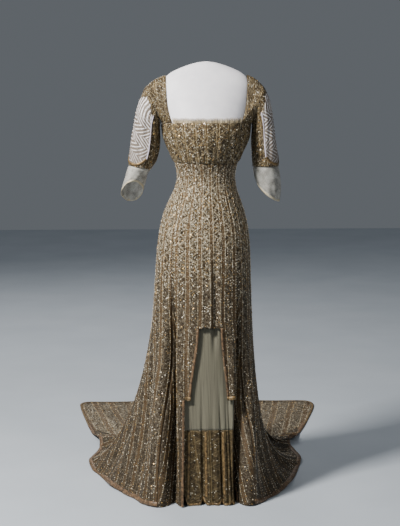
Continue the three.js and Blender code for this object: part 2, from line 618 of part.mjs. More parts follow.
// The neckline's side edge: on the form, on the ray at each angle from a line inside the shoulder.
function neckEdge(side, share, out) {
  const corners = [onForm(side * CORNER, NECK_Z, EASE), onForm(180 - side * CORNER, BACK_NECK_Z, EASE)];
  const cornerX = Math.abs(lerp(corners[0].x, corners[1].x, share));
  const centre = new THREE.Vector3(
    side * lerp(cornerX, 132, Math.sin(Math.PI * share) ** 0.8),
    0,
    lerp(NECK_Z, BACK_NECK_Z, share) + SHOULDER_GAP,
  );
  const angle = Math.PI * share;
  const way = new THREE.Vector3(0, -Math.cos(angle), Math.sin(angle));
  let [inside, outside] = [0, 220];
  for (const _ of range(30)) {
    const middle = (inside + outside) / 2;
    if (inForm(centre.clone().addScaledVector(way, middle), out)) inside = middle;
    else outside = middle;
  }
  return centre.addScaledVector(way, inside);
}

// Whether a point is inside the form with a layer of the given thickness on it.
function inForm(point, layer) {
  const z = Math.min(1410, point.z - layer * ramp(point.z, 1330, 1380));
  if (z > 1409) return false;
  const along = point.y < 0 ? form.front(z) : form.back(z);
  return Math.hypot(point.x / (form.half(z) + layer), point.y / (along + layer)) < 1;
}

// The armhole end of a shoulder piece: on the sleeve's first ring, set back along the sleeve by the gap.
function armholeEdge(side, at, v, out) {
  const turn = lerp(RING_END, -RING_END, v);
  const point = ringPoint(at(0), side, turn, out);
  const below = ringPoint(at(1 / SLEEVE_ROWS), side, turn, out);
  const gap = SHOULDER_GAP + 0.2 + 1.6 * Math.abs(2 * v - 1) ** 4;
  return point.addScaledVector(point.clone().sub(below).normalize(), gap);
}

function shoulderPiece(name, side, rings) {
  const ring = ringsAt(rings);
  const down = 26;
  const across = 6;
  const inner = sheet(down, across, (u, v) => {
    const point = innerEdge(side, v, EASE + 0.3).lerp(armholeEdge(side, ring, v, -CLOTH), u);
    point.z += 6 * Math.sin(Math.PI * u) * Math.sin(Math.PI * v) ** 2;
    while (u > 0 && u < 1 && inForm(point, EASE + 2.2)) {
      point.x += side * 0.4;
      point.z += 0.4 * Math.sin(Math.PI * v);
    }
    return point;
  });
  const at = (r, c) => inner[THREE.MathUtils.clamp(r, 0, down)][THREE.MathUtils.clamp(c, 0, across)];
  const outerAt = (r, c) => {
    if (c === 0) return innerEdge(side, r / down, EASE + 0.3 + CLOTH);
    if (c === across) return armholeEdge(side, ring, r / down, 0);
    const acrossWay = at(r, c + 1).clone().sub(at(r, c - 1));
    const downWay = at(r + 1, c).clone().sub(at(r - 1, c));
    const normal = acrossWay.cross(downWay).normalize().multiplyScalar(side);
    return at(r, c).clone().addScaledVector(normal, CLOTH);
  };
  const faces = inner.map((line, r) => line.map((point, c) => ({ inner: point, outer: outerAt(r, c) })));
  const turned = side < 0 ? faces : faces.map((line) => [...line].reverse());
  add(`shoulder_${name}`, wall(turned), "net");
}

dressForm();
stand();
bodice("bodice_front", 0, NECK_Z);
bodice("bodice_back", 180, BACK_NECK_Z);
overskirtFront();
GORES.forEach(gore);
underskirt();
for (const [name, side] of [["left", -1], ["right", 1]]) {
  const faces = sleeveFaces(side, SLEEVE[name]);
  add(`sleeve_${name}`, wall(faces, { round: true }), "net");
  cuff(name, side, SLEEVE[name], CUFF[name]);
  lacePanel(name, faces);
  shoulderPiece(name, side, SLEEVE[name]);
}
neckFrill();

export default gown;
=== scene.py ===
# %% [markdown]
# # A trained ball gown on a dress form
# The gown is striped beaded net: a fitted bodice, half sleeves with pale lace and sheer ends, and an
# overskirt that opens over a chiffon underskirt and runs out into a train.
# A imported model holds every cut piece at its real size. Here each piece is made again as fine cloth on the
# same surface, and then gets its stripes, lace, beads, sequins and braid.

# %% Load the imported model
import math
from types import SimpleNamespace

import bmesh
import bpy
import numpy as np
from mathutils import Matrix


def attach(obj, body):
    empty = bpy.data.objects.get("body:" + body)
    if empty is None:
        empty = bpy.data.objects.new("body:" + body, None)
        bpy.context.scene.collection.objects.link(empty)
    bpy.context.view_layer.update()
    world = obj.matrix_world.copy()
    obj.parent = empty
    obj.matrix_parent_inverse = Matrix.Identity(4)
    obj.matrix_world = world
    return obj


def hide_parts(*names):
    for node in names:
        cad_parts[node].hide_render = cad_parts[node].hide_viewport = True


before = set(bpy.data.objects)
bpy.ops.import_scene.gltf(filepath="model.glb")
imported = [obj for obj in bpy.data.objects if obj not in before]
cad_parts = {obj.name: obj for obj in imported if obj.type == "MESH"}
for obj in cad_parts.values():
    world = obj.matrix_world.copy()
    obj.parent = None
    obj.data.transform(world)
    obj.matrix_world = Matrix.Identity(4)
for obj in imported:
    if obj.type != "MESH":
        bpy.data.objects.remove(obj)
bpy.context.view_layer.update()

# %% [markdown]
# ## Camera, light and floor
# A tall object is best seen from far away with a long lens, so that it keeps its proportions.
# The camera stands at neck height, 4.66 m away, a little to the left, and looks slightly down.

# %% Camera
CAMERA_DOWN = 8.4  # degrees below level
CAMERA_TURN = -2.254


def new_object(name, data):
    thing = bpy.data.objects.new(name, data)
    bpy.context.scene.collection.objects.link(thing)
    return thing


camera = new_object("camera", bpy.data.cameras.new("camera"))
camera.location = (-0.2035, -4.6634, 1.4406)
camera.rotation_euler = (math.radians(90 - CAMERA_DOWN), 0, math.radians(CAMERA_TURN))
camera.data.sensor_width = 36
camera.data.lens = 97.8
bpy.context.scene.camera = camera
print("camera at", tuple(round(x, 3) for x in camera.location))


# %% [markdown]
# Beads only sparkle when a light is small enough to be mirrored in them, and cloth only shows its folds
# when the light comes from one side. So the key light is a fairly small panel high on the left. A larger
# weak panel on the right keeps the shadows open, and a wide one behind lights the train.


# %% Lights
def light(name, place, aim, size, watts, colour):
    lamp = bpy.data.lights.new(name, "AREA")
    lamp.size = size
    lamp.energy = watts
    lamp.color = colour
    lamp_object = new_object(name, lamp)
    lamp_object.location = place
    way = np.array(aim, float) - np.array(place, float)
    lamp_object.rotation_euler = (
        math.atan2(math.hypot(way[0], way[1]), -way[2]), 0, math.atan2(way[1], way[0]) - math.pi / 2,
    )


WARM = (1.0, 0.97, 0.92)
light("key_light", (-1.75, -1.3, 2.7), (0, 0, 1.0), 0.5, 182, WARM)
light("fill_light", (1.7, -2.2, 2.7), (0, 0, 1.2), 1.0, 15, WARM)
light("back_light", (-1.1, 3.2, 2.8), (0, 0.3, 0.6), 1.8, 46, (1.0, 0.98, 0.95))

world = bpy.data.worlds.new("studio")
bpy.context.scene.world = world
world.use_nodes = True
sky = world.node_tree.nodes["Background"].inputs
sky["Color"].default_value = (0.62, 0.68, 0.75, 1)
sky["Strength"].default_value = 0.19
print("three lights and a pale world")


# %% [markdown]
# ## Materials
# Each finish is a small network of nodes. One helper fills a node's inputs with numbers or with other
# nodes' outputs. The others add one kind of node each and give its output.


# %% Node helpers
def fill(tree, node, values):
    for socket, value in dict(values).items():
        if isinstance(value, bpy.types.NodeSocket):
            tree.links.new(value, node.inputs[socket])
        else:
            node.inputs[socket].default_value = value


def add_node(tree, kind, values=(), **settings):
    node = tree.nodes.new(kind)
    for name, value in settings.items():
        setattr(node, name, value)
    fill(tree, node, values)
    return node


def made(tree, kind, values=(), **settings):
    return add_node(tree, kind, values, **settings).outputs[0]


def math_of(tree, operation, a, b=0.0):
    return made(tree, "ShaderNodeMath", {0: a, 1: b}, operation=operation)


def times(tree, a, b):
    return math_of(tree, "MULTIPLY", a, b)


def step_of(tree, value, low, high, start=0.0, end=1.0):
    values = {"Value": value, "From Min": low, "From Max": high, "To Min": start, "To Max": end}
    return add_node(tree, "ShaderNodeMapRange", values).outputs["Result"]


def band_of(tree, value, low, high, soft):
    rise = step_of(tree, value, low - soft, low + soft)
    return times(tree, rise, step_of(tree, value, high - soft, high + soft, 1.0, 0.0))


def mix_of(tree, share, a, b):
    first, second = (x if isinstance(x, bpy.types.NodeSocket) else (*x, 1) for x in (a, b))
    return add_node(tree, "ShaderNodeMix", {0: share, 6: first, 7: second}, data_type="RGBA").outputs[2]


def ramp_of(tree, share, stops):
    node = add_node(tree, "ShaderNodeValToRGB", {"Fac": share})
    elements = node.color_ramp.elements
    while len(elements) < len(stops):
        elements.new(0.5)
    for element, (place, colour) in zip(elements, stops):
        element.position = place
        element.color = (*colour, 1)
    return node.outputs["Color"]


def texture_of(tree, kind, place, scales, values=(), **settings):
    across, along = (times(tree, value, scale) for value, scale in zip(place, scales))
    vector = made(tree, "ShaderNodeCombineXYZ", {0: across, 1: along})
    return add_node(tree, f"ShaderNodeTex{kind}", {"Vector": vector, **dict(values)}, **settings)


def new_material(name, roughness=0.6, metallic=0.0):
    material = bpy.data.materials.new(name)
    material.use_nodes = True
    shader = material.node_tree.nodes["Principled BSDF"]
    fill(material.node_tree, shader, {"Roughness": roughness, "Metallic": metallic})
    return material, material.node_tree, shader


def bump(tree, shader, height, distance, strength=0.8):
    values = {"Height": height, "Distance": distance, "Strength": strength}
    fill(tree, shader, {"Normal": made(tree, "ShaderNodeBump", values)})


def cloth_place(tree):
    split = add_node(tree, "ShaderNodeSeparateXYZ", {0: made(tree, "ShaderNodeUVMap", uv_map="cloth")})
    return split.outputs["X"], split.outputs["Y"]


def object_place(tree):
    return add_node(tree, "ShaderNodeTexCoord").outputs["Object"]


print("node helpers ready")


# %% [markdown]
# ### Striped beaded net
# The net has a plain brown ribbon, a cream line of beads, a band of scrollwork, and a second cream line,
# and then it starts again. The cloth's own coordinates make this easy: the first counts stripes and the
# second is in metres along the cloth, so the stripes follow every fold and narrow at the waist.
# The scrollwork is a net of cell edges for the corded outlines and a zigzag for the larger motif, which
# turns to rings lower down. Small random cells are the beads: some are dark, and some shine, partly by a
# real metallic finish and lower roughness, and partly by a painted glint, a near-white colour. The beading
# is densest over the hips, so its strength is a short list of places down the cloth. The same list also
# paints shade into the colour: the net is painted darker where its value is low, lower down the cloth,
# and lighter over the hips. The train's beading grows again towards its end.


# %% Striped beaded net
BROWN = (0.105, 0.063, 0.033)
DARK_BROWN = (0.012, 0.008, 0.005)
GOLD = (0.20, 0.125, 0.045)
CREAM = (0.62, 0.54, 0.385)
NET = (0.078, 0.053, 0.027)
# Painted glint: the near-white colour painted on the bead cells that shine.
PAINTED_GLINT = (0.95, 0.90, 0.74)
# Each list also sets painted shade: where its value is low, lower down the cloth, the net is painted darker.
ALL_OVER = [(0.0, 0.60), (1.0, 0.60)]  # metres down, beading
FROM_WAIST = [(0.0, 0.42), (0.10, 0.92), (0.22, 0.86), (0.42, 0.32), (1.0, 0.16)]
ON_TRAIN = [*FROM_WAIST[:-1], (0.86, 0.18), (1.0, 0.55)]
LINE_SOFT = 0.015  # in stripes
RIBBON_SOFT = 0.06
LAST_LINE = (0.93, 0.985)


def outlines_of(tree, place, share, ribbon_share):
    values = {"Scale": 1.0, "Randomness": 0.9}
    cells = texture_of(tree, "Voronoi", place, (3.4, 92.0), values, feature="DISTANCE_TO_EDGE")
    scrolls = step_of(tree, cells.outputs["Distance"], 0.02, 0.08, 0.8, 0.0)
    zigzag_height = math_of(tree, "PINGPONG", times(tree, place[1], 52.0), 1.0)
    motif_share = step_of(tree, share, ribbon_share + 0.07, 0.935)
    zigzag_gap = math_of(tree, "ABSOLUTE", math_of(tree, "SUBTRACT", zigzag_height, motif_share))
    zigzag = step_of(tree, zigzag_gap, 0.05, 0.11, 1.0, 0.0)
    rosettes = texture_of(tree, "Voronoi", place, (1.3, 26.0), {"Scale": 1.0, "Randomness": 0.85})
    ring = math_of(tree, "FRACT", times(tree, rosettes.outputs["Distance"], 4.2))
    rings = band_of(tree, ring, 0.36, 0.62, 0.09)
    motif = mix_of(tree, step_of(tree, place[1], 0.36, 0.55), zigzag, rings)
    return math_of(tree, "MAXIMUM", scrolls, motif)


def beaded_net(name, ground, ribbon, cream, beading_and_painted_shade, ribbon_share=0.26, glitter=0.80):
    material, tree, shader = new_material(name)
    place = cloth_place(tree)
    share = math_of(tree, "FRACT", place[0])
    ribbon_zone = band_of(tree, share, 0.0, ribbon_share, RIBBON_SOFT)
    first_line = band_of(tree, share, ribbon_share + 0.02, ribbon_share + 0.08, LINE_SOFT)
    lines = math_of(tree, "MAXIMUM", first_line, band_of(tree, share, *LAST_LINE, LINE_SOFT))
    outlines = outlines_of(tree, place, share, ribbon_share)
    amount = ramp_of(tree, place[1], [(down, (value,) * 3) for down, value in beading_and_painted_shade])

    def over_ribbon(off, on):
        return step_of(tree, ribbon_zone, 0.0, 1.0, off, on)

    grains = texture_of(tree, "Voronoi", place, (11.0, 275.0), {"Scale": 1.0})
    chance = made(tree, "ShaderNodeSeparateColor", {0: grains.outputs["Color"]})
    round_grain = step_of(tree, grains.outputs["Distance"], 0.34, 0.54, 1.0, 0.0)
    bright = times(tree, step_of(tree, chance, glitter, glitter + 0.05), round_grain)
    dark = times(tree, step_of(tree, chance, 0.26, 0.32, 1.0, 0.0), round_grain)

    patches = texture_of(tree, "Noise", place, (0.7, 11.0)).outputs["Fac"]
    # Random patches of tone, with painted shade: the ground is darker where the beading is thin, lower down.
    patchy_tone_and_painted_shade = times(tree, step_of(tree, patches, 0.36, 0.64), amount)
    net_colour = mix_of(tree, patchy_tone_and_painted_shade, [0.55 * x for x in ground], [1.9 * x for x in ground])
    strength = times(tree, step_of(tree, patches, 0.38, 0.60, 0.35, 0.95), amount)
    thread = texture_of(tree, "Noise", place, (12.0, 120.0), {"Detail": 3.0}).outputs["Fac"]
    silk = ramp_of(tree, thread, [(0.36, [0.25 * x for x in ribbon]), (0.5, ribbon), (0.62, GOLD)])
    colour = mix_of(tree, ribbon_zone, net_colour, silk)
    beaded = times(tree, outlines, over_ribbon(1.0, 0.38))
    colour = mix_of(tree, times(tree, beaded, strength), colour, cream)
    # Painted shade: where the beading is thin, lower down the cloth, the colour is painted darker, towards
    # DARK_BROWN.
    colour = mix_of(tree, step_of(tree, amount, 0.12, 0.8, 0.38, 0.0), colour, DARK_BROWN)
    between = step_of(tree, outlines, 0.0, 1.0, 0.85, 0.2)
    colour = mix_of(tree, times(tree, dark, between), colour, DARK_BROWN)
    colour = mix_of(tree, times(tree, lines, strength), colour, cream)
    # Painted glint: shining bead cells are painted near-white, and also get real metallic and lower
    # roughness.
    shine_and_painted_glint = times(tree, times(tree, bright, over_ribbon(0.9, 0.5)), amount)
    colour = mix_of(tree, shine_and_painted_glint, colour, PAINTED_GLINT)
    relief = math_of(tree, "MAXIMUM", math_of(tree, "MAXIMUM", outlines, lines), round_grain)
    relief = times(tree, relief, over_ribbon(1.0, 0.4))
    relief = times(tree, relief, step_of(tree, amount, 0.0, 0.8, 0.35, 1.0))
    roughness = step_of(tree, shine_and_painted_glint, 0.0, 1.0, 0.55, 0.22)
    metallic = step_of(tree, shine_and_painted_glint, 0.0, 1.0, 0.1, 0.6)
    fill(tree, shader, {"Base Color": colour, "Roughness": roughness, "Metallic": metallic})
    shader.inputs["Specular IOR Level"].default_value = 0.22
    bump(tree, shader, relief, 0.0014, 1.0)
    return material


gown_net = beaded_net("gown_net", NET, BROWN, CREAM, FROM_WAIST)
train_cloth = beaded_net("train_cloth", NET, BROWN, CREAM, ON_TRAIN)
bodice_net = beaded_net("bodice_net", NET, (0.085, 0.052, 0.018), (0.46, 0.37, 0.21), ALL_OVER, 0.13)
border_net = beaded_net("border_net", (0.062, 0.043, 0.019), GOLD, (0.20, 0.155, 0.08), ALL_OVER, 0.04, 0.93)
print("beaded net for the skirt, the train, the bodice and the underskirt's border")

# %% [markdown]
# ### Chiffon, tulle and lace
# Chiffon is a plain soft cloth, so it gets a fine vertical grain, a slow change of tone and a little sheen.
# Tulle is so open that light goes through it: a lower alpha with a fine mesh of threads shows that. Its
# colour has painted shade and light: random patches are painted darker and lighter, as over small folds.
# The lace is pale bands on a brown-grey net: straight ones at the top, then slanted ones that turn the
# other way with every row.


# %% Chiffon and tulle
def chiffon_material():
    material, tree, shader = new_material("chiffon", 0.75)
    place = cloth_place(tree)
    wide = texture_of(tree, "Noise", place, (3.0, 1.2)).outputs["Fac"]
    grain = texture_of(tree, "Noise", place, (60.0, 9.0)).outputs["Fac"]
    stops = [(0.30, (0.070, 0.058, 0.042)), (0.48, (0.130, 0.121, 0.080)), (0.66, (0.155, 0.147, 0.100))]
    dark_share = step_of(tree, grain, 0.3, 0.7, 0.0, 0.35)
    colour = mix_of(tree, dark_share, ramp_of(tree, wide, stops), (0.075, 0.068, 0.048))
    fill(tree, shader, {"Base Color": colour, "Sheen Weight": 0.25})
    bump(tree, shader, grain, 0.0006, 0.5)
    return material


def tulle_material(name, light_tone, dark_tone, cover, soft_edge=0.0):
    material, tree, shader = new_material(name, 0.7)
    place = object_place(tree)
    painted_fold_shade = add_node(tree, "ShaderNodeTexNoise", {"Vector": place, "Scale": 40.0, "Detail": 3.0})
    mesh = {"Vector": place, "Scale": 620.0}
    holes = add_node(tree, "ShaderNodeTexVoronoi", mesh, feature="DISTANCE_TO_EDGE")
    threads = step_of(tree, holes.outputs["Distance"], 0.03, 0.11, 1.0, 0.0)
    # Painted shade and light: random patches are painted darker and lighter, as over small folds.
    colour = mix_of(tree, step_of(tree, painted_fold_shade.outputs["Fac"], 0.35, 0.65), dark_tone, light_tone)
    alpha = step_of(tree, threads, 0.0, 1.0, cover, 1.0)
    if soft_edge:
        alpha = times(tree, alpha, step_of(tree, cloth_place(tree)[1], 0.0, soft_edge, 0.12, 1.0))
    fill(tree, shader, {"Base Color": colour, "Alpha": alpha, "Sheen Weight": 0.2})
    bump(tree, shader, threads, 0.0004, 0.5)
    return material


chiffon = chiffon_material()
sleeve_tulle = tulle_material("sleeve_tulle", (0.58, 0.57, 0.52), (0.28, 0.27, 0.24), 0.50)
neck_tulle = tulle_material("neck_tulle", (0.52, 0.43, 0.27), (0.24, 0.18, 0.09), 0.60, 0.014)
print("chiffon and two tulles")


# %% Lace
def lace_material():
    material, tree, shader = new_material("pale_lace", 0.6)
    across, along = cloth_place(tree)
    turned = math_of(tree, "GREATER_THAN", math_of(tree, "PINGPONG", times(tree, along, 31.0), 1.0), 0.5)
    side = step_of(tree, turned, 0.0, 1.0, -1.0, 1.0)
    slope = times(tree, times(tree, across, 3.6), side)
    bars = math_of(tree, "FRACT", math_of(tree, "ADD", times(tree, along, 86.0), slope))
    long_bars = math_of(tree, "FRACT", times(tree, across, 4.5))
    slanted = band_of(tree, bars, 0.27, 0.58, 0.08)
    straight = band_of(tree, long_bars, 0.2, 0.6, 0.08)
    white = mix_of(tree, step_of(tree, along, 0.045, 0.065, 1.0, 0.0), slanted, straight)
    patches = texture_of(tree, "Noise", (across, along), (2.0, 30.0)).outputs["Fac"]
    white = times(tree, white, step_of(tree, patches, 0.36, 0.5, 0.3, 1.0))
    white = times(tree, white, step_of(tree, along, 0.11, 0.20, 1.0, 0.45))
    fill(tree, shader, {"Base Color": mix_of(tree, white, (0.15, 0.12, 0.095), (0.88, 0.86, 0.87))})
    bump(tree, shader, white, 0.0014)
    return material


pale_lace = lace_material()
print("lace")

# %% [markdown]
# ### Braid, satin, beads, form and stand
# The small finishes read the place on the object itself, in metres, so they stay the same size everywhere.


# %% Braid, satin, beads, form and stand
def grained(name, dark, light_tone, scale, roughness, metallic=0.0, relief=0.0006):
    material, tree, shader = new_material(name, roughness, metallic)
    values = {"Vector": object_place(tree), "Scale": scale, "Detail": 4.0}
    grain = add_node(tree, "ShaderNodeTexNoise", values).outputs["Fac"]
    fill(tree, shader, {"Base Color": ramp_of(tree, grain, [(0.32, dark), (0.68, light_tone)])})
    bump(tree, shader, grain, relief, 0.5)
    return material


brown_braid = grained("brown_braid", (0.030, 0.018, 0.010), (0.24, 0.145, 0.075), 115, 0.5, 0.15)
gold_braid = grained("gold_braid", (0.045, 0.027, 0.011), (0.29, 0.19, 0.08), 120, 0.45, 0.3)
cream_cord = grained("cream_cord", (0.30, 0.25, 0.16), (0.62, 0.56, 0.42), 500, 0.5, 0.05)
lilac_satin = grained("lilac_satin", (0.50, 0.45, 0.52), (0.72, 0.67, 0.76), 300, 0.35)
bead_cream = grained("bead_cream", (0.60, 0.50, 0.33), (0.92, 0.86, 0.72), 90, 0.45, 0.1, 0.0)
bead_gold = grained("bead_gold", (0.24, 0.13, 0.05), (0.62, 0.42, 0.16), 90, 0.35, 0.5, 0.0)
bead_dark = grained("bead_dark", (0.02, 0.014, 0.01), (0.10, 0.06, 0.035), 90, 0.2, 0.4, 0.0)
form_shell = grained("form_shell", (0.80, 0.79, 0.84), (0.87, 0.86, 0.90), 35, 0.55, 0.0, 0.0002)
stand_metal = grained("stand_metal", (0.02, 0.02, 0.022), (0.05, 0.05, 0.055), 60, 0.35, 0.8, 0.0001)
floor_paper = grained("floor_paper", (0.46, 0.51, 0.57), (0.50, 0.55, 0.61), 3, 0.85)
print("small finishes ready")

# %% [markdown]
# ## The floor
# A bmesh grid scaled up is enough.

# %% Floor
floor_mesh = bmesh.new()
bmesh.ops.create_grid(floor_mesh, x_segments=1, y_segments=1, size=7)
floor_data = bpy.data.meshes.new("floor")
floor_mesh.to_mesh(floor_data)
floor_mesh.free()
floor_data.materials.append(floor_paper)
floor = new_object("floor", floor_data)
floor.location.z = -0.0005
print("floor", floor.dimensions[:2])


# %% [markdown]
# ## The surfaces
# A dress is cut flat but lies on a body, so it is easier to describe the shape that it takes: level
# sections of the form and of the skirt, and an outline of the hem on the floor. A smooth curve through each
# column of a short table gives the shape at every height. All of this is in millimetres, and becomes metres
# at the end.


# %% Smooth tables
def curve(at, values):
    slope = np.diff(values) / np.diff(at)
    product = slope[:-1] * slope[1:]
    same = product > 0
    total = np.where(same, slope[:-1] + slope[1:], 1)
    tangent = np.concatenate([slope[:1], np.where(same, 2 * product / total, 0), slope[-1:]])

    def value_at(where):
        x = np.clip(where, at[0], at[-1])
        k = np.clip(np.searchsorted(at, x, side="right") - 1, 0, len(at) - 2)
        step = at[k + 1] - at[k]
        s = (x - at[k]) / step
        return (
            values[k] * (1 + 2 * s) * (1 - s) ** 2
            + tangent[k] * step * s * (1 - s) ** 2
            + values[k + 1] * s * s * (3 - 2 * s)
            + tangent[k + 1] * step * s * s * (s - 1)
        )

    return value_at


def table(names, rows):
    data = np.array(rows, float).T
    return SimpleNamespace(**{name: curve(data[0], column) for name, column in zip(names.split(), data[1:])})


def ramp(value, low, high):
    share = np.clip((value - low) / (high - low), 0, 1)
    return share * share * (3 - 2 * share)


print("a curve through 0, 1, 4 at 1.5:", round(float(curve(np.arange(3.0), np.array([0, 1, 4.0]))(1.5)), 2))

# %% Level sections of the form and of the skirt
FORM = table(
    "half front back",
    [
        (780, 130, 100, 120), (786, 135, 104, 125), (820, 136, 108, 128), (860, 131, 108, 125),
        (900, 121, 102, 115), (940, 109, 96, 103), (980, 98, 91, 93), (1010, 93, 88, 87),
        (1036, 91, 87, 85), (1060, 94, 90, 85), (1087, 101, 98, 88), (1123, 118, 110, 94),
        (1150, 130, 118, 99), (1177, 139, 121, 104), (1205, 143, 118, 108), (1235, 147, 108, 110),
        (1265, 150, 96, 108), (1295, 152, 84, 101), (1320, 151, 73, 90), (1340, 146, 63, 77),
        (1355, 137, 54, 65), (1368, 124, 45, 55), (1380, 105, 37, 47), (1391, 80, 31, 40),
        (1400, 55, 25, 33), (1407, 30, 17, 22), (1410, 12, 8, 10),
    ],
)
SKIRT = table(
    "left right front back",
    [
        (558, 177, 151, 144, 176), (615, 172, 149, 137, 166), (700, 166, 146, 128, 154),
        (787, 160, 143, 120, 144), (854, 152, 138, 113.5, 134), (915, 138, 126, 105, 119),
        (955, 121, 113, 99, 106), (980, 109, 104, 95, 98), (1010, 97, 95, 90, 90),
        (1036, 92.5, 92, 88, 86), (1060, 94.5, 94.5, 90.5, 85.5), (1087, 101.5, 101.5, 98.5, 88.5),
    ],
)
print("waist half-width:", float(FORM.half(1036)), "mm")

# %% [markdown]
# The hem's outline goes by angle from the front. Each fall of cloth reaches it along a curve: "mid" and
# "low" are shares of the way out, at the heights "mid_z" and "low_z".

# %% The hem on the floor
HEM = table(
    "x y mid mid_z low low_z",
    [
        (-180, 12, 1150, 0.05, 15, 0.34, 0), (-172, -140, 1148, 0.05, 15, 0.34, 0),
        (-164, -300, 1138, 0.05, 20, 0.34, 0), (-157, -440, 1122, 0.06, 30, 0.34, 2),
        (-153, -470, 1080, 0.07, 40, 0.34, 4), (-146, -440, 850, 0.09, 70, 0.36, 8),
        (-138, -405, 640, 0.11, 100, 0.38, 15), (-130, -368, 492, 0.13, 130, 0.4, 25),
        (-122, -378, 408, 0.15, 160, 0.45, 35), (-112, -400, 295, 0.18, 195, 0.52, 45),
        (-100, -390, 180, 0.2, 220, 0.57, 55), (-88, -350, 60, 0.22, 230, 0.6, 65),
        (-76, -303, -45, 0.27, 240, 0.63, 80), (-64, -250, -155, 0.35, 255, 0.68, 100),
        (-52, -200, -230, 0.43, 270, 0.72, 125), (-40, -140, -252, 0.5, 279, 0.75, 140),
        (-20, -70, -255, 0.5, 279, 0.75, 140), (0, 3, -252, 0.5, 279, 0.75, 140),
        (20, 58, -255, 0.5, 279, 0.75, 140), (40, 110, -250, 0.48, 279, 0.73, 135),
        (52, 160, -228, 0.38, 265, 0.62, 110), (64, 212, -165, 0.25, 245, 0.48, 75),
        (76, 262, -70, 0.13, 225, 0.36, 45), (88, 300, 35, 0.08, 210, 0.3, 30),
        (100, 333, 165, 0.07, 195, 0.28, 22), (112, 350, 290, 0.07, 170, 0.28, 20),
        (122, 342, 400, 0.07, 145, 0.3, 20), (130, 330, 478, 0.07, 120, 0.32, 18),
        (138, 382, 610, 0.07, 90, 0.33, 12), (146, 440, 820, 0.07, 60, 0.34, 6),
        (153, 490, 1060, 0.06, 40, 0.34, 3), (157, 465, 1116, 0.06, 30, 0.34, 2),
        (164, 320, 1134, 0.05, 20, 0.34, 0), (172, 165, 1146, 0.05, 15, 0.34, 0),
        (180, 12, 1150, 0.05, 15, 0.34, 0),
    ],
)
print("train's end at y =", float(HEM.y(180)), "mm")

# %% [markdown]
# ## Folds
# A fold is a soft ridge or trough that starts somewhere below the waist, grows and fades. Real ones are
# uneven, so each has its own place, width, depth and length, and leans its own way on its way to the hem.
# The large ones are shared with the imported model. The creases are a few millimetres deep, except for two
# that make the troughs beside the tabs narrower and darker.

# %% Folds and creases
FOLDS = [  # turn, spread, out, from, full, gone, lean
    (-40, 10, -36, 0.75, 1.5, 3, 7.5), (-28, 7, 9, 0.8, 1.5, 3, 4), (9, 6, -11, 0.35, 0.95, 1.2, 0),
    (31, 6, 9, 0.8, 1.5, 3, -4), (43, 10, -36, 0.8, 1.5, 3, -8), (56, 9, 18, 0.9, 1.6, 3, -10),
    (70, 8, -15, 1.0, 1.6, 2.3, -8), (84, 9, 12, 0.9, 1.7, 2.6, -4), (97, 8, -12, 0.8, 1.6, 2.3, 0),
    (110, 9, 16, 0.6, 1.6, 2.4, 0), (-54, 9, 14, 0.9, 1.6, 3, 8), (-67, 8, -13, 0.9, 1.6, 2.3, 5),
    (-80, 9, 14, 0.9, 1.7, 2.6, 2), (-93, 8, -12, 0.8, 1.6, 2.3, 0), (-107, 9, 18, 0.6, 1.6, 2.4, 0),
    (-122, 8, -16, 0.5, 1.4, 2.2, 0), (124, 8, -16, 0.5, 1.4, 2.2, 0), (-132, 7, 46, 0.7, 1.7, 2.25, 0),
    (133, 7, 42, 0.7, 1.7, 2.25, 0), (-144, 7, -20, 0.35, 1.2, 1.9, 0), (145, 7, -20, 0.35, 1.2, 1.9, 0),
    (-156, 8, 22, 0.25, 1.3, 2.3, 0), (157, 8, 20, 0.25, 1.3, 2.2, 0), (-168, 7, -16, 0.2, 1.1, 1.9, 0),
    (169, 7, -14, 0.2, 1.1, 1.9, 0), (180, 8, 20, 0.2, 1.3, 2.4, 0),
]
CREASES = [
    (-62, 3.5, 3.2, 0.7, 1.4, 2.4, 6), (-49, 3, -2.6, 0.9, 1.5, 2.6, 8), (-73, 4, 3.0, 1.0, 1.6, 2.5, 4),
    (-87, 3.5, -3.2, 0.9, 1.5, 2.3, 0), (-99, 4, 3.6, 0.8, 1.5, 2.4, 0), (-34, 2.6, -2.2, 0.8, 1.2, 2.0, 5),
    (-41.5, 7.5, -34, 0.6, 1.2, 3, 7.5), (-45.5, 2.2, 3, 0.9, 1.4, 2.6, 8), (43, 5.5, -28, 0.6, 1.2, 3, -8),
    (-15, 3.2, 1.8, 0.5, 0.9, 1.3, 0), (-3, 2.8, -2.0, 0.35, 0.8, 1.2, 0), (4, 2.5, 2.2, 0.3, 0.8, 1.1, 0),
    (16, 3.0, 2.4, 0.35, 0.9, 1.2, 0), (24, 3.0, -2.0, 0.4, 0.9, 1.3, 0), (37, 2.8, 2.4, 0.7, 1.2, 2.1, -4),
    (50, 3, -2.8, 0.9, 1.5, 2.6, -9), (63, 3.6, 3.4, 0.7, 1.4, 2.4, -9), (77, 4, -3.0, 1.0, 1.6, 2.5, -5),
    (90, 3.5, 3.4, 0.8, 1.5, 2.3, 0), (103, 4, -3.6, 0.8, 1.5, 2.4, 0), (117, 3.6, 3.8, 0.6, 1.4, 2.3, 0),
    (-115, 3.6, -3.8, 0.6, 1.4, 2.3, 0), (-127, 3, 4, 0.5, 1.3, 2.1, 0), (128, 3, 4, 0.5, 1.3, 2.1, 0),
    (-138, 3, 4.4, 0.4, 1.2, 2, 0), (139, 3, -4, 0.4, 1.2, 2, 0), (-150, 3.2, -4.6, 0.3, 1.2, 2.1, 0),
    (151, 3.2, 4.4, 0.3, 1.2, 2.1, 0), (-162, 3, 4.6, 0.25, 1.2, 2.1, 0), (163, 3, -4.4, 0.25, 1.2, 2.1, 0),
    (-174, 3.2, -4.8, 0.2, 1.2, 2.1, 0), (174.5, 3.2, 4.6, 0.2, 1.2, 2.1, 0),
]
LEAN_FROM = 1.15


def around_half_turn(turn):
    return np.mod(turn + 180, 360) - 180


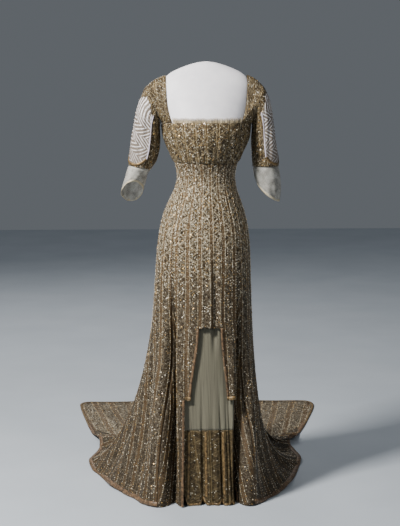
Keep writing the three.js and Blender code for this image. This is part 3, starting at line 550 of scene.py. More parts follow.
def fold_out(turn, down):
    total = np.zeros(np.broadcast(turn, down).shape)
    leaning = ramp(down, LEAN_FROM, 2)
    for middle, spread, out, begin, full, gone, lean in FOLDS + CREASES:
        away = np.minimum(np.abs(around_half_turn(turn - middle - lean * leaning)) / spread, 1)
        grown = ramp(down, begin, full) * (1 - ramp(down, full, gone))
        total += out * grown * (1 + np.cos(math.pi * away)) / 2
    return total


print("folds:", len(FOLDS), "creases:", len(CREASES))


# %% Points on the form and on the skirt
SEAT_Z = 1087
SLIT_Z = 558


def section(turn, left, right, front, back, z):
    angle = np.radians(turn)
    across = np.where(np.sin(angle) < 0, left, right)
    along = np.where(np.cos(angle) > 0, front, back)
    return np.stack(np.broadcast_arrays(across * np.sin(angle), -along * np.cos(angle), z), -1)


def on_form(turn, z, out=0.0):
    half = FORM.half(z) + out
    return section(turn, half, half, FORM.front(z) + out, FORM.back(z) + out, z)


def on_skirt(turn, z):
    return section(turn, SKIRT.left(z), SKIRT.right(z), SKIRT.front(z), SKIRT.back(z), z)


def plain_skirt(turn, down):
    upper = on_skirt(turn, SEAT_Z + (SLIT_Z - SEAT_Z) * np.minimum(down, 1))
    side = around_half_turn(turn)
    share = np.clip(down - 1, 0, 1)[..., None]
    top = on_skirt(turn, np.full(np.shape(turn), float(SLIT_Z)))
    above = on_skirt(turn, np.full(np.shape(turn), SLIT_Z + 1.0))
    end = np.stack([HEM.x(side), HEM.y(side), np.zeros(np.shape(turn))], -1)

    def away(portion, height):
        flat = top[..., :2] + (end[..., :2] - top[..., :2]) * portion[..., None]
        return np.concatenate([flat, height[..., None]], -1)

    controls = [
        top, top + (top - above) * SLIT_Z * 0.28, away(HEM.mid(side), HEM.mid_z(side)),
        away(HEM.low(side), HEM.low_z(side)), end,
    ]
    weights = (n * (1 - share) ** (4 - k) * share**k for k, n in enumerate((1, 4, 6, 4, 1)))
    lower = sum(weight * point for weight, point in zip(weights, controls))
    return np.where((down <= 1)[..., None], upper, lower)


def normal_of(surface, turn, down):
    across = surface(turn + 0.5, down) - surface(turn - 0.5, down)
    along = surface(turn, np.minimum(down + 0.02, 2)) - surface(turn, np.maximum(down - 0.02, 0))
    normal = np.cross(along, across)
    normal /= np.linalg.norm(normal, axis=-1, keepdims=True)
    normal[..., 2] *= ramp(down, 0, 0.15)
    return normal / np.linalg.norm(normal, axis=-1, keepdims=True)


def folded_skirt(turn, down, out=0.0):
    reach = fold_out(turn, down) + out
    point = plain_skirt(turn, down) + normal_of(plain_skirt, turn, down) * reach[..., None]
    point[..., 2] = np.maximum(point[..., 2], 0)
    return point


print("hem at the front:", np.round(folded_skirt(np.array([0.0]), np.array([2.0]))[0], 1))


# %% [markdown]
# ## From a surface to cloth
# Every piece starts as a bmesh grid. Its two coordinates become the share across and the share down, a
# function places each vertex, and the grid keeps its even quads. A UV map called "cloth" then records where
# each point lies on the cloth: how many stripes it is from the piece's middle, and how many metres down.
# The lengths are measured on the finished grid, as the piece would lie when it is cut flat: where a hem
# runs at a slant, only its width across the grain counts. So the stripes keep their width over every fold.
# Solidify gives the cloth its thickness outwards, away from the layer under it.


# %% Cloth from a grid
def link_piece(mesh, name, material, replaced=(), thick=0.0):
    data = bpy.data.meshes.new(name)
    mesh.to_mesh(data)
    mesh.free()
    data.materials.append(material)
    data.shade_smooth()
    piece = new_object(name, data)
    if thick:
        wall = piece.modifiers.new("thickness", "SOLIDIFY")
        wall.thickness = thick
        wall.offset = 1.0
        wall.use_even_offset = False
    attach(piece, "root")
    if replaced:
        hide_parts(*replaced)
    return piece


def lengths(points, axis):
    steps = np.linalg.norm(np.diff(points, axis=axis), axis=-1)
    start = np.zeros_like(np.take(steps, [0], axis=axis))
    return np.concatenate([start, np.cumsum(steps, axis=axis)], axis=axis)


def flat_cut(points, narrowest):
    seams = lengths(points, 0)
    runs = np.linalg.norm(np.diff(points, axis=1), axis=-1)
    flat_runs = np.sqrt(np.maximum(runs**2 - np.diff(seams, axis=1) ** 2, (narrowest * runs) ** 2))
    places = np.concatenate([np.zeros((len(points), 1)), np.cumsum(flat_runs, axis=1)], axis=1)
    across = points[:-1, 1:] - points[:-1, :-1]
    along = points[1:, :-1] - points[:-1, :-1]
    area = float(np.linalg.norm(np.cross(across, along), axis=-1).sum())
    return places, seams, area


def mapped_grid(across, down, place):
    mesh = bmesh.new()
    bmesh.ops.create_grid(mesh, x_segments=across, y_segments=down, size=0.5)
    share_across, share_down = np.meshgrid(np.linspace(0, 1, across + 1), np.linspace(0, 1, down + 1))
    points = place(share_across, share_down) * 0.001
    cells = []
    for vertex in mesh.verts:
        column = round((vertex.co.x + 0.5) * across)
        row = round((0.5 - vertex.co.y) * down)
        vertex.co = points[row, column]
        cells.append((row, column))
    mesh.verts.index_update()
    return mesh, points, cells


def write_cloth_map(mesh, cells, stripe, along):
    layer = mesh.loops.layers.uv.new("cloth")
    for face in mesh.faces:
        for loop in face.loops:
            cell = cells[loop.vert.index]
            loop[layer].uv = (stripe[cell], along[cell])


SURFACES = {}


def cloth(name, node, grid, place, material, pitch=40.0, middle=0.5, thick=1.8, keep=None,
          tube=False, phase=0.17, narrowest=1.0, stripes=None):
    across, down = grid
    mesh, points, cells = mapped_grid(across, down, place)
    places, seams, area = flat_cut(points, narrowest)
    pitches = pitch(np.linspace(0, 1, down + 1))[:, None] if callable(pitch) else pitch
    stripe = (places - places[:, [round(middle * across)]]) * 1000 / pitches + phase
    if stripes:
        stripe = stripes(points)
    write_cloth_map(mesh, cells, stripe, seams)
    kept = np.ones((down, across), bool)
    if keep is not None:
        middles = [[((c + 0.5) / across, (r + 0.5) / down) for c in range(across)] for r in range(down)]
        kept = np.array([[keep(*point) for point in row] for row in middles])
        corners = [np.array([cells[vertex.index] for vertex in face.verts]).min(0) for face in mesh.faces]
        lost = [face for face, (row, column) in zip(mesh.faces, corners) if not kept[row, column]]
        bmesh.ops.delete(mesh, geom=lost, context="FACES")
    if tube:
        bmesh.ops.remove_doubles(mesh, verts=mesh.verts, dist=0.00002)
    piece = link_piece(mesh, name, material, [node] if node else [], thick * 0.001)
    if keep is not None:
        area = sum(face.area for face in piece.data.polygons)
    SURFACES[name] = (points, stripe, kept)


print("cloth helpers ready")

# %% [markdown]
# ## The dress form and its stand
# The form is one smooth closed shape. A UV sphere has the right layout, with a pole at the bottom and one
# at the dome, so its rings are moved onto the form's level sections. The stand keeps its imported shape.

# %% Dress form
FORM_BOTTOM = 0.780
FORM_TOP = 1.411
form_mesh = bmesh.new()
bmesh.ops.create_uvsphere(form_mesh, u_segments=72, v_segments=64, radius=1)
for vertex in form_mesh.verts:
    latitude = math.asin(max(-1, min(1, vertex.co.z))) / math.pi + 0.5
    turn = math.degrees(math.atan2(vertex.co.x, -vertex.co.y))
    if latitude < 0.001:
        vertex.co = (0, 0, FORM_BOTTOM)
    elif latitude > 0.999:
        vertex.co = (0, 0, FORM_TOP)
    else:
        z = float(np.interp(latitude, [0.01, 0.05, 0.5, 0.9, 0.99], [780, 790, 1100, 1380, 1409]))
        vertex.co = on_form(np.array(turn), np.array(z)) * 0.001
dress_form = link_piece(form_mesh, "dress_form_shell", form_shell, ["dress_form"])
for material_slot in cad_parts["stand"].material_slots:
    material_slot.material = stand_metal
print("form:", [round(x, 3) for x in dress_form.dimensions])

# %% [markdown]
# ## The overskirt
# The stripes are about 26 mm wide at the waist, 40 mm at the hip and 50 mm at the hem, because the cloth is
# gathered into the waist. Where a gore flares, new stripes come in at the seam farther from the front. The
# train's stripes run almost straight back along it and widen a little towards its end.

# %% Gores and train
FRONT_SEAMS = (-45, 48)
skirt_pitch = curve(np.array([0, 0.05, 0.22, 0.5, 1.0]), np.array([28.0, 25, 38, 42, 50]))
GORES = [  # name, first seam, last seam, columns
    ("overskirt_side_left", -104, FRONT_SEAMS[0], 60),
    ("overskirt_side_right", FRONT_SEAMS[1], 106, 60),
    ("overskirt_back_left", -143, -104, 44),
    ("overskirt_back_right", 106, 144, 44),
    ("train", 144, 217, 90),
]
ROWS = 110
SEAM_INSET = math.degrees(0.15 / 90)


def down_share(v):
    return 2 * (0.42 * v + 0.58 * v**0.92)


def gore_place(first, last):
    return lambda u, v: folded_skirt(first + (last - first) * u, down_share(v))


def fan_stripes(points):
    gathered = np.interp(points[..., 2], [0.6, 1.05], [1.0, 0.62])
    return points[..., 0] / (0.0272 * (points[..., 1] + 1.4) * gathered) + 0.17


for name, first, last, columns in GORES:
    cloth(
        f"{name}_net", name, (columns, ROWS), gore_place(first + SEAM_INSET, last - SEAM_INSET),
        train_cloth if name == "train" else gown_net, pitch=skirt_pitch,
        middle=1.0 if first < 0 else 0.0, narrowest=0.5,
        stripes=fan_stripes if name == "train" else None,
    )

# %% [markdown]
# The front panel is whole down to the opening. Below it hang two tabs with square ends, and outside the
# tabs the panel goes on to the hem. The opening is cut by leaving faces out of the grid, along edges that
# the grid's columns follow, so the cut stays clean.

# %% Front of the overskirt
TABS_END = 1.4
EDGES = table(
    "outer_left left right outer_right",
    [
        (0, -23, -9.4, 15.6, 36), (1, -23, -9.4, 15.6, 36), (TABS_END, -23.5, -17.4, 22.5, 36),
        (2, -23.5, -18, 26, 36),
    ],
)
FRONT_STOPS = (0, 0.24, 0.36, 0.64, 0.82, 1)
FRONT_GRID = (100, 120)
TAB_ROW = round(0.7 * FRONT_GRID[1]) / FRONT_GRID[1]


def front_turn(u, down):
    sides = np.broadcast_arrays(
        FRONT_SEAMS[0] + SEAM_INSET, EDGES.outer_left(down), EDGES.left(down), EDGES.right(down),
        EDGES.outer_right(down), FRONT_SEAMS[1] - SEAM_INSET,
    )
    turn = sides[0]
    for k in range(5):
        share = np.clip((u - FRONT_STOPS[k]) / (FRONT_STOPS[k + 1] - FRONT_STOPS[k]), 0, 1)
        turn = turn + (sides[k + 1] - sides[k]) * share
    return turn


def front_place(u, v):
    return folded_skirt(front_turn(u, 2 * v), 2 * v)


def front_keeps(u, v):
    if v < 0.5:
        return True
    if v < TAB_ROW:
        return not FRONT_STOPS[2] < u < FRONT_STOPS[3]
    return not FRONT_STOPS[1] < u < FRONT_STOPS[4]


cloth(
    "overskirt_front_net", "overskirt_front", FRONT_GRID, front_place, gown_net,
    pitch=skirt_pitch, middle=0.53, keep=front_keeps, narrowest=0.5,
)

# %% [markdown]
# ## The underskirt
# The chiffon hangs in soft uneven pleats, and its embroidered border is a separate strip below it.

# %% Underskirt and border
BORDER_DOWN = 1.57
UNDER_FIRST = -28
UNDER_WIDE = 68
UNDER_TOP = 0.9
PLEATS = [  # turn, spread, out
    (-26, 3, -8), (-19, 4, 2), (-13, 3, -2), (-6.5, 2.6, -9), (-1, 3, 3), (4, 2.4, -2), (8, 3, 3),
    (14, 2.6, -11), (19, 2.6, 3), (22, 2, -3), (26.5, 2.6, -13), (31, 2.2, 2), (35, 2.2, -12),
]
LOBES = (-22.5, -6.5, 14, 26.5, 37)


def under_place(turn, down):
    out = np.full(np.shape(turn), -12.0)
    for middle, spread, depth in PLEATS:
        away = np.minimum(np.abs(turn - middle) / spread, 1)
        out = out + depth * ramp(down, 1.25, 1.8) * (1 + np.cos(math.pi * away)) / 2
    return folded_skirt(turn, down, out)


def border_end(turn):
    share = np.interp(turn, LOBES, range(len(LOBES))) % 1
    return 2 - 0.055 * np.abs(2 * share - 1) ** 5


def border_place(u, v):
    turn = UNDER_FIRST + UNDER_WIDE * u
    return under_place(turn, BORDER_DOWN + (border_end(turn) - BORDER_DOWN) * v)


cloth(
    "underskirt_front_chiffon",
    "underskirt_front",
    (120, 50),
    lambda u, v: under_place(UNDER_FIRST + UNDER_WIDE * u, UNDER_TOP + (BORDER_DOWN - UNDER_TOP) * v),
    chiffon,
    thick=1.2,
)
cloth(
    "underskirt_border_net", "underskirt_border", (150, 50), border_place, border_net,
    pitch=58, thick=1.6, phase=0.32,
)

# %% [markdown]
# ## The bodice
# The front is gathered into the seam under the bust, so small ribs run down it and fade at both ends.

# %% Bodice and neck frill
NECK_Z = 1216
BACK_NECK_Z = 1238
UNDERARM_Z = 1207
CORNER = 50
SIDE = 88


def bodice_top(turn, neck_z):
    return neck_z + (UNDERARM_Z - neck_z) * ramp(np.abs(turn), CORNER, SIDE)


def bodice_place(middle, neck_z, gathers):
    def place(u, v):
        turn = -89.9 + 179.8 * u
        top = bodice_top(turn, neck_z)
        z = top + (SEAT_Z + 0.3 - top) * v
        rib = (1 + np.cos(np.radians(turn) * 18)) * 1.5
        crease = 1.1 * np.cos(np.radians(turn) * 43 + 2 * np.sin(6 * v))
        crease += 0.8 * np.cos(np.radians(turn) * 61 + 1)
        fade = ramp(v, 0, 0.4) * (1 - ramp(v, 0.6, 1))
        near_seam = ramp(v, 0.35, 0.85)
        overhang = 2.6 * ramp(v, 0.70, 0.92) * (1 - ramp(v, 0.94, 1.0))
        return on_form(turn + middle, z, 1.6 + gathers * (rib * fade + crease * near_seam + overhang))

    return place


bodice_pitch = curve(np.array([0, 0.5, 1.0]), np.array([38.0, 36, 30]))
BODICES = (("bodice_front", 0, NECK_Z, 1.0), ("bodice_back", 180, BACK_NECK_Z, 0.3))
for name, middle, neck_z, gathers in BODICES:
    cloth(
        f"{name}_net", name, (150, 44), bodice_place(middle, neck_z, gathers), bodice_net,
        pitch=bodice_pitch,
    )


def frill_place(u, v):
    turn = -CORNER + 2 + 2 * (CORNER - 2) * u
    gather = (1.3 * np.cos(u * math.pi * 26) + 0.8 * np.cos(u * math.pi * 58 + 1)) * (1 - 0.5 * v)
    wave = 0.8 * np.cos(u * 31) + 0.6 * np.cos(u * 83)
    z = NECK_Z + 17 + wave - (16.4 + wave) * v
    return on_form(turn, z, 2.9 + gather)


cloth("neck_frill_tulle", "neck_frill", (200, 10), frill_place, neck_tulle, thick=0.5)

# %% [markdown]
# ## The sleeves
# Each sleeve hangs as it would on an arm. Its rings slope: a ring is given by its ends nearest to and
# farthest from the body, seen from the front, and by its depth. The sheer end is sewn inside the upper
# part, and its front edge is cut up higher than its back.

# %% Sleeve rings
SLEEVES = {
    "left": (-1, [  # inner x, inner z, outer x, outer z, y, deep, open
        (148.5, 1212, 196, 1331, 0, 54, 0), (150, 1202, 210, 1298, -1, 54, 0),
        (151, 1189, 226, 1249, -2, 53, 0), (151.5, 1165, 236, 1198, -3, 51, 0),
        (153, 1130, 245, 1152, -4, 50, 0), (163, 1092, 250, 1112, -6, 48, 0),
        (180, 1064, 254, 1078, -8, 45, 0),
    ], [
        (192, 1046, 261, 1050, -9, 40, 2), (199, 1022, 269, 1020, -10, 37, 14),
        (207, 999, 276, 988, -11, 35, 35),
    ]),
    "right": (1, [
        (148.5, 1212, 188, 1328, 0, 54, 0), (150, 1202, 203, 1295, 0, 54, 0),
        (150, 1189, 214, 1248, 0, 53, 0), (150, 1165, 221, 1198, 0, 51, 0),
        (150, 1132, 228, 1150, 0, 50, 0), (150.5, 1100, 234, 1110, 0, 49, 0),
        (152, 1072, 238, 1072, 0, 47, 0),
    ], [
        (156, 1050, 242, 1046, -2, 44, 0), (160, 1034, 245, 1004, -3, 41, -4),
        (168, 1016, 240, 961, -4, 38, -12),
    ]),
}


def ring_table(rings):
    at = np.linspace(0, 1, len(rings))
    names = "inner_x inner_z outer_x outer_z y deep open"
    return table(names, [(share, *ring) for share, ring in zip(at, rings)])


def ring_point(rings, side, turn, share, out):
    angle = np.radians(turn)
    inner = np.stack([rings.inner_x(share), rings.inner_z(share)], -1)
    outer = np.stack([rings.outer_x(share), rings.outer_z(share)], -1)
    half = np.linalg.norm(outer - inner, axis=-1, keepdims=True) / 2
    way = (outer - inner) / (2 * half)
    middle = (outer + inner) / 2 + way * np.cos(angle)[..., None] * (half + out[..., None])
    y = rings.y(share) - np.sin(angle) * (rings.deep(share) + out)
    z = middle[..., 1] + rings.open(share) * np.sin(angle)
    return np.stack([side * middle[..., 0], y, z], -1)


def sleeve_fold(turn, share):
    main = 2.4 * np.cos(np.radians(turn) * 5 + share * 4)
    small = 1.2 * np.cos(np.radians(turn) * 13 - share * 9) * ramp(share, 0.1, 0.5)
    return (main + small) * np.sin(math.pi * np.clip(share, 0, 1))


print("sleeves:", list(SLEEVES))

# %% Sleeves, sheer ends and lace panels
LACE_TURNS = {"left": (-4, 105), "right": (-4, 90)}
LACE_TOP = 0.075
LACE_TOP_MIDDLE = 0.62


def lace_end(lean):
    return 0.965 - 0.13 * np.abs(lean) ** 2.5


def sleeve_place(rings, side, out):
    def place(u, v):
        turn = -side * 360 * u
        return ring_point(rings, side, turn, v, sleeve_fold(turn, v) + out)

    return place


def cuff_place(rings, cuff_rings, side):
    whole = ring_table([*rings[-2:], *cuff_rings])

    def place(u, v):
        turn = -side * 360 * u
        share = 0.14 + 0.86 * v
        tuck = -2.6 * (1 - ramp(share, 0.25, 0.34))
        soft = 1.6 * np.cos(np.radians(turn) * 4) + 1.0 * np.cos(np.radians(turn) * 9 + 5 * v)
        return ring_point(whole, side, turn, share, tuck - 0.8 + soft * ramp(share, 0.3, 0.9))

    return place


for name, (side, rings, cuff_rings) in SLEEVES.items():
    sleeve_rings = ring_table(rings)
    cloth(f"sleeve_{name}_net", f"sleeve_{name}", (96, 60), sleeve_place(sleeve_rings, side, -1.6),
          bodice_net, pitch=36, thick=1.4, tube=True)
    cloth(f"cuff_{name}_tulle", f"cuff_{name}", (96, 44), cuff_place(rings, cuff_rings, side), sleeve_tulle,
          thick=0.5, tube=True)
    first, last = LACE_TURNS[name]

    def lace_place(u, v, rings=sleeve_rings, side=side, first=first, last=last):
        share = LACE_TOP + (lace_end(2 * u - 1) - LACE_TOP) * v
        widened = ramp(v, 0.0, 0.22)
        centre = LACE_TOP_MIDDLE + (0.5 - LACE_TOP_MIDDLE) * widened
        place_across = centre + (u - 0.5) * (0.30 + 0.70 * widened)
        turn = first + (last - first) * (place_across if side < 0 else 1 - place_across)
        return ring_point(rings, side, turn, share, sleeve_fold(turn, share) + 0.2)

    cloth(f"sleeve_lace_{name}_panel", f"sleeve_lace_{name}", (30, 70), lace_place, pale_lace,
          pitch=60, thick=1.2, phase=0.5)


# %% [markdown]
# ## The shoulder pieces
# A shoulder piece lies round the armhole. Its inner edge follows the bodice up to the neckline's corner,
# crosses the shoulder, and comes down behind. Its outer edge meets the sleeve's first ring.


# %% Shoulder pieces
EDGE_CORNERS = (0.26, 0.74)
RING_END = 145
GAP = 1.1


def in_form(point, layer):
    z = np.minimum(1410, point[..., 2] - layer * ramp(point[..., 2], 1330, 1380))
    along = np.where(point[..., 1] < 0, FORM.front(z), FORM.back(z))
    reach = np.hypot(point[..., 0] / (FORM.half(z) + layer), point[..., 1] / (along + layer))
    return (reach < 1) & (z <= 1409)


def neck_edge(side, share, out):
    front_corner = abs(on_form(np.array(CORNER), np.array(NECK_Z), 0.9)[0])
    back_corner = abs(on_form(np.array(CORNER), np.array(BACK_NECK_Z), 0.9)[0])
    corner_x = front_corner + (back_corner - front_corner) * share
    centre_x = side * (corner_x + (132 - corner_x) * np.sin(math.pi * share) ** 0.8)
    centre = np.stack([centre_x, np.zeros_like(share), NECK_Z + (BACK_NECK_Z - NECK_Z) * share + GAP], -1)
    angle = math.pi * share
    way = np.stack([np.zeros_like(share), -np.cos(angle), np.sin(angle)], -1)
    inside = np.zeros_like(share)
    outside = np.full_like(share, 220)
    for _ in range(30):
        middle = (inside + outside) / 2
        within = in_form(centre + way * middle[..., None], out)
        inside = np.where(within, middle, inside)
        outside = np.where(within, outside, middle)
    return centre + way * inside[..., None]


def shoulder_inner_edge(side, v):
    front, back = EDGE_CORNERS
    front_turn_at = 80 + (CORNER - 80) * np.clip(v / front, 0, 1)
    back_turn_at = CORNER + (80 - CORNER) * np.clip((v - back) / (1 - back), 0, 1)
    front_part = on_form(side * front_turn_at, bodice_top(front_turn_at, NECK_Z) + GAP, 1.2)
    back_part = on_form(180 - side * back_turn_at, bodice_top(back_turn_at, BACK_NECK_Z) + GAP, 1.2)
    share = np.clip((v - front) / (back - front), 0, 1)
    over = neck_edge(side, share, 1.2 + 2 * np.sin(math.pi * share) ** 2)
    return np.where((v <= front)[..., None], front_part, np.where((v >= back)[..., None], back_part, over))


def armhole_edge(rings, side, v):
    turn = RING_END - 2 * RING_END * v
    out = np.full(np.shape(v), -2.0)
    point = ring_point(rings, side, turn, np.zeros_like(v), out)
    below = ring_point(rings, side, turn, np.full_like(v, 1 / 9), out)
    way = (point - below) / np.linalg.norm(point - below, axis=-1, keepdims=True)
    return point + way * (GAP + 0.2 + 1.6 * np.abs(2 * v - 1) ** 4)[..., None]


def shoulder_place(rings, side):
    def place(u, v):
        share = u if side > 0 else 1 - u
        down = 1 - v if side > 0 else v
        inner = shoulder_inner_edge(side, down)
        point = inner + (armhole_edge(rings, side, down) - inner) * share[..., None]
        point[..., 2] += 6 * np.sin(math.pi * share) * np.sin(math.pi * down) ** 2
        for _ in range(60):
            deep = in_form(point, 3.1) & (share > 0) & (share < 1)
            point[..., 0] += deep * side * 0.4
            point[..., 2] += deep * 0.4 * np.sin(math.pi * down)
        return point

    return place


for name, (side, rings, _) in SLEEVES.items():
    cloth(f"shoulder_{name}_net", f"shoulder_{name}", (30, 110), shoulder_place(ring_table(rings), side),
          bodice_net, pitch=34, thick=1.6, phase=0.2)

# %% [markdown]
# ## Braid
# A narrow braid covers each hem and cut edge. It is one strip of cloth laid along a line on a surface, so
# one helper makes them all: it takes the line as a few places, finds the surface's outward direction and
# the line's side direction at each point, and spreads the strip's width along the side.


# %% Strips along a line
def strip(name, surface, turns, downs, width, material, shift=0.5, count=120, lift=2.4, thick=0.9):
    def place(u, v):
        stops = np.linspace(0, 1, len(turns))
        turn = np.interp(u, stops, turns)
        down = np.interp(u, stops, downs)
        centre = surface(turn, down)
        out = normal_of(surface, turn, down)
        side = np.cross(np.gradient(centre, axis=1), out)
        side /= np.linalg.norm(side, axis=-1, keepdims=True)
        point = centre + out * lift + side * ((v - shift) * width)[..., None]
        point[..., 2] = np.maximum(point[..., 2], 0.3)
        return point

    cloth(name, None, (count, 2), place, material, pitch=6, thick=thick)


print("strip helper ready")

# %% [markdown]
# The hem's braid is brown and 15 mm wide at the sides, and narrower and golden round the train. A thin
# brown braid runs down the opening's edges, above and below the tabs' ends, and gold braid closes the two
# tabs.

# %% Braid on the overskirt
for name, first, last, columns in GORES:
    wide, braid = (9, gold_braid) if name == "train" else (15, brown_braid)
    strip(f"{name}_hem_braid", folded_skirt, (first, last), (2, 2), wide, braid, 1.0, 6 * columns, 2.2)
edge_downs = np.linspace(1, TABS_END - 0.005, 12)
side_downs = np.linspace(TABS_END, 2, 16)
for name, edge, downs, shift in (
    ("opening_left", EDGES.left, edge_downs, 0.0), ("opening_right", EDGES.right, edge_downs, 1.0),
    ("side_left", EDGES.outer_left, side_downs, 0.0), ("side_right", EDGES.outer_right, side_downs, 1.0),
):
    strip(f"{name}_braid", folded_skirt, edge(downs), downs, 8, brown_braid, shift, 80)
for name, turns in (("left", (-23.4, -17.5)), ("right", (22.6, 35.9))):
    strip(f"tab_{name}_end", folded_skirt, turns, (TABS_END, TABS_END), 13, gold_braid, 0.95, 24, 2.6)

# %% [markdown]
# The underskirt's border is edged round its lobes, and a gold band 8 mm wide runs down three of them.

# %% Braid on the border
lobe_turns = np.linspace(LOBES[0], LOBES[-1], 160)
strip("lobe_edging", under_place, lobe_turns, border_end(lobe_turns), 7, gold_braid, 1.0, 320, 2.0)
for number, turn in enumerate((-19.5, -3.2, 17.4)):
    strip(f"border_band_{number + 1}", under_place, (turn, turn), (BORDER_DOWN + 0.01, 1.955), 8, gold_braid,
          count=50, lift=2.0)


# %% [markdown]
# On the sleeves, a scalloped gold edging closes the lace panel, a lilac satin line runs down beside it, and
# the sheer ends have a beaded edge.

# %% Edgings on the sleeves
for name, (side, rings, cuff_rings) in SLEEVES.items():
    sleeve_rings = ring_table(rings)
    whole = ring_table([*rings[-2:], *cuff_rings])

    def sleeve_surface(turn, share, rings=sleeve_rings, side=side):
        return ring_point(rings, side, -side * turn, share, sleeve_fold(-side * turn, share) - 0.2)

    def cuff_surface(turn, share, rings=whole, side=side):
        soft = 1.6 * np.cos(np.radians(turn) * 4) * ramp(share, 0.3, 0.9)
        return ring_point(rings, side, -side * turn, share, soft - 0.8)

    first, last = LACE_TURNS[name]
    lean = np.linspace(-1, 1, 15)
    scallop_turns = (first + last) / 2 + (last - first) / 2 * lean
    strip(f"sleeve_{name}_scallop", sleeve_surface, -side * scallop_turns, lace_end(lean), 8, gold_braid,
          count=60, lift=1.6)
    edge_shares = np.linspace(0.16, 0.84, 12)
    satin_turns = np.full(12, -side * (last + 1.0))
    strip(f"sleeve_{name}_satin", sleeve_surface, satin_turns, edge_shares, 4, lilac_satin,
          count=60, lift=1.4)
    strip(f"cuff_{name}_edge", cuff_surface, (0, 360), (0.995, 0.995), 7, cream_cord, count=90, lift=0.7,
          thick=0.6)
print("edgings on the sleeves")

# %% [markdown]
# ## Sequins and beads
# A gown like this carries tens of thousands of them. Geometry Nodes scatters sequins over a copy of each
# net piece, tilts each one a little its own way, and makes them real geometry. About half of those that
# fall on a plain ribbon are dropped, and fewer lie below the hips, where the beading thins out.


# %% Sequins
SEQUIN_CORNERS = 6
SEQUIN_LIFT = 0.0024  # metres
SEQUIN_TILT = 0.45  # radians
BELOW_HIPS = (0.34, 0.55)  # metres down


def geometry_group(name):
    tree = bpy.data.node_groups.new(name, "GeometryNodeTree")
    tree.is_modifier = True
    tree.interface.new_socket("Geometry", in_out="INPUT", socket_type="NodeSocketGeometry")
    tree.interface.new_socket("Geometry", in_out="OUTPUT", socket_type="NodeSocketGeometry")
    start = tree.nodes.new("NodeGroupInput").outputs[0]
    return tree, start, tree.nodes.new("NodeGroupOutput")


def open_sockets(sockets, *names):
    return [socket for socket in sockets if socket.enabled and (not names or socket.name in names)]


def random_value(tree, low, high, seed, data_type="FLOAT"):
    node = add_node(tree, "FunctionNodeRandomValue", data_type=data_type)
    for socket, value in zip(open_sockets(node.inputs, "Min", "Max"), (low, high)):
        socket.default_value = value
    node.inputs["Seed"].default_value = seed
    return open_sockets(node.outputs)[0]


def place_bits(tree, points, bit, seed, tilt, materials, end):
    turn = random_value(tree, (-tilt, -tilt, -3), (tilt, tilt, 3), seed, "FLOAT_VECTOR")
    turned = made(tree, "FunctionNodeRotateRotation", {0: points[1], 1: turn}, rotation_space="LOCAL")
    size = random_value(tree, *bit[1], seed + 1)
    values = {"Points": points[0], "Instance": bit[0], "Rotation": turned, "Scale": size}
    values = {"Geometry": made(tree, "GeometryNodeInstanceOnPoints", values), "Name": "pick"}
    choice = random_value(tree, 0.0, 1.0, seed + 2)
    real = add_node(tree, "GeometryNodeStoreNamedAttribute", values, domain="INSTANCE")
    tree.links.new(choice, open_sockets(real.inputs, "Value")[0])
    solid = made(tree, "GeometryNodeRealizeInstances", {0: real.outputs[0]})
    pick = made(tree, "GeometryNodeInputNamedAttribute", {"Name": "pick"})
    for material, below in materials:
        some = math_of(tree, "LESS_THAN", pick, below)
        values = {"Geometry": solid, "Selection": some, "Material": material}
        solid = made(tree, "GeometryNodeSetMaterial", values)
    tree.links.new(solid, end.inputs[0])


def sequin_group(name, densities, radius, ribbon_share, on_ribbon, materials, seed):
    tree, start, end = geometry_group(name)
    place = made(tree, "GeometryNodeInputNamedAttribute", {"Name": "cloth"}, data_type="FLOAT_VECTOR")
    split = add_node(tree, "ShaderNodeSeparateXYZ", {0: place}).outputs
    values = {"Mesh": start, "Density": step_of(tree, split["Y"], *BELOW_HIPS, *densities), "Seed": seed}
    spread = add_node(tree, "GeometryNodeDistributePointsOnFaces", values).outputs
    in_ribbon = math_of(tree, "LESS_THAN", math_of(tree, "FRACT", split["X"]), ribbon_share)
    unlucky = math_of(tree, "GREATER_THAN", random_value(tree, 0.0, 1.0, seed + 5), on_ribbon)
    values = {"Geometry": spread["Points"], "Selection": times(tree, in_ribbon, unlucky)}
    left = made(tree, "GeometryNodeDeleteGeometry", values)
    out = made(tree, "ShaderNodeVectorMath", {0: spread["Normal"], "Scale": SEQUIN_LIFT}, operation="SCALE")
    moved = made(tree, "GeometryNodeSetPosition", {"Geometry": left, "Offset": out})
    values = {"Vertices": SEQUIN_CORNERS, "Radius": radius}
    disc = made(tree, "GeometryNodeMeshCircle", values, fill_type="NGON")
    place_bits(tree, (moved, spread["Rotation"]), (disc, (0.7, 1.15)), seed, SEQUIN_TILT, materials, end)
    return tree


def add_bits(name, mesh, group):
    piece = new_object(name, mesh)
    piece.modifiers.new("bits", "NODES").node_group = group
    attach(piece, "root")


gown_sequins = sequin_group(
    "gown_sequins", (13500, 4200), 0.0019, 0.33, 0.45,
    [(bead_dark, 2), (bead_gold, 0.72), (bead_cream, 0.38)], 3,
)
bodice_sequins = sequin_group(
    "bodice_sequins", (9000, 9000), 0.0020, 0.16, 0.6,
    [(bead_dark, 2), (bead_gold, 0.66), (bead_cream, 0.24)], 8,
)
NETS = [name for name in SURFACES if name.endswith("_net")]
SKIRT_NETS = [name for name in NETS if name.startswith(("overskirt", "train"))]
UPPER_NETS = [name for name in NETS if name.startswith(("bodice", "sleeve", "shoulder"))]
for names, group in ((SKIRT_NETS, gown_sequins), (UPPER_NETS, bodice_sequins)):
    for name in names:
        add_bits(f"{name}_sequins", bpy.data.objects[name].data.copy(), group)
print("pieces with sequins:", len(SKIRT_NETS) + len(UPPER_NETS))

# %% [markdown]
# Two rows of beads edge every band of scrollwork on the skirt. The cloth map already says where: a row is
# the line where the stripe count passes one of two shares of a stripe. So each row of the grid is searched
# for that value, and the beads are set along the pieces of line between one grid row and the next.


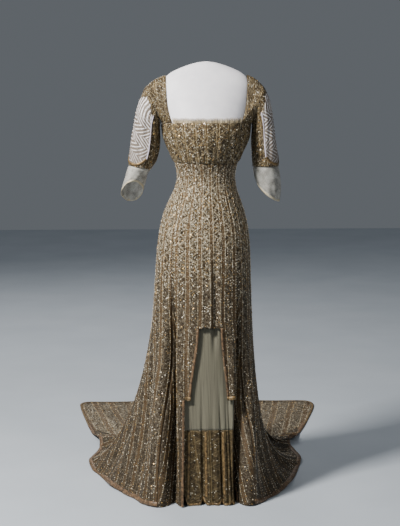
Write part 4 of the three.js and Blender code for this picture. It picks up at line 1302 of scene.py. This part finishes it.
# %% Rows of beads
ROW_SHARES = (0.31, 0.96)  # of a stripe
BEAD_RADIUS = 0.0014
BEAD_SPACING = 0.006
BEAD_LIFT = 0.0026
BEADS_LEFT = 0.86  # the rest have come off
ANY_TILT = 3.0


def bead_places(name, chooser):
    points, stripe, kept = SURFACES[name]
    lift = BEAD_LIFT
    if stripe[-1, -1] < stripe[-1, 0]:
        points, stripe, kept = points[:, ::-1], stripe[:, ::-1], kept[:, ::-1]
        lift = -lift
    out = np.cross(np.gradient(points, axis=0), np.gradient(points, axis=1))
    out /= np.linalg.norm(out, axis=-1, keepdims=True)
    raised = points + out * lift
    columns = np.arange(stripe.shape[1])
    places = []
    for offset in ROW_SHARES:
        for level in np.arange(math.floor(stripe.min()), stripe.max()) + offset:
            at = np.array([np.interp(level, np.maximum.accumulate(row), columns, -1, -1) for row in stripe])
            line = [[np.interp(a, columns, row[:, k]) for a, row in zip(at, raised)] for k in range(3)]
            line = np.stack(line, -1)
            for row in range(len(at) - 1):
                if min(at[row], at[row + 1]) <= 0 or not kept[row, min(int(at[row]), kept.shape[1] - 1)]:
                    continue
                step = line[row + 1] - line[row]
                count = max(1, round(float(np.linalg.norm(step)) / BEAD_SPACING))
                shares = (np.arange(count) + 0.5) / count
                places.extend(line[row] + step * share for share in shares if chooser.random() < BEADS_LEFT)
    return places


def bead_group(name, materials, seed=5):
    tree, start, end = geometry_group(name)
    values = {"Segments": 4, "Rings": 2, "Radius": BEAD_RADIUS}
    ball = add_node(tree, "GeometryNodeMeshUVSphere", values).outputs[0]
    place_bits(tree, (start, (0, 0, 0)), (ball, (0.75, 1.15)), seed, ANY_TILT, materials, end)
    return tree


row_beads = bead_group("row_beads", [(bead_gold, 2), (bead_cream, 0.52)])
train_beads = bead_group("train_beads", [(bead_gold, 2), (bead_dark, 0.45)])
chooser = np.random.default_rng(7)
total = 0
for name in SKIRT_NETS:
    places = bead_places(name, chooser)
    mesh = bpy.data.meshes.new(f"{name}_beads")
    mesh.from_pydata([tuple(place) for place in places], [], [])
    add_bits(f"{name}_beads", mesh, train_beads if name == "train_net" else row_beads)
    total += len(places)
print("beads in rows:", total)
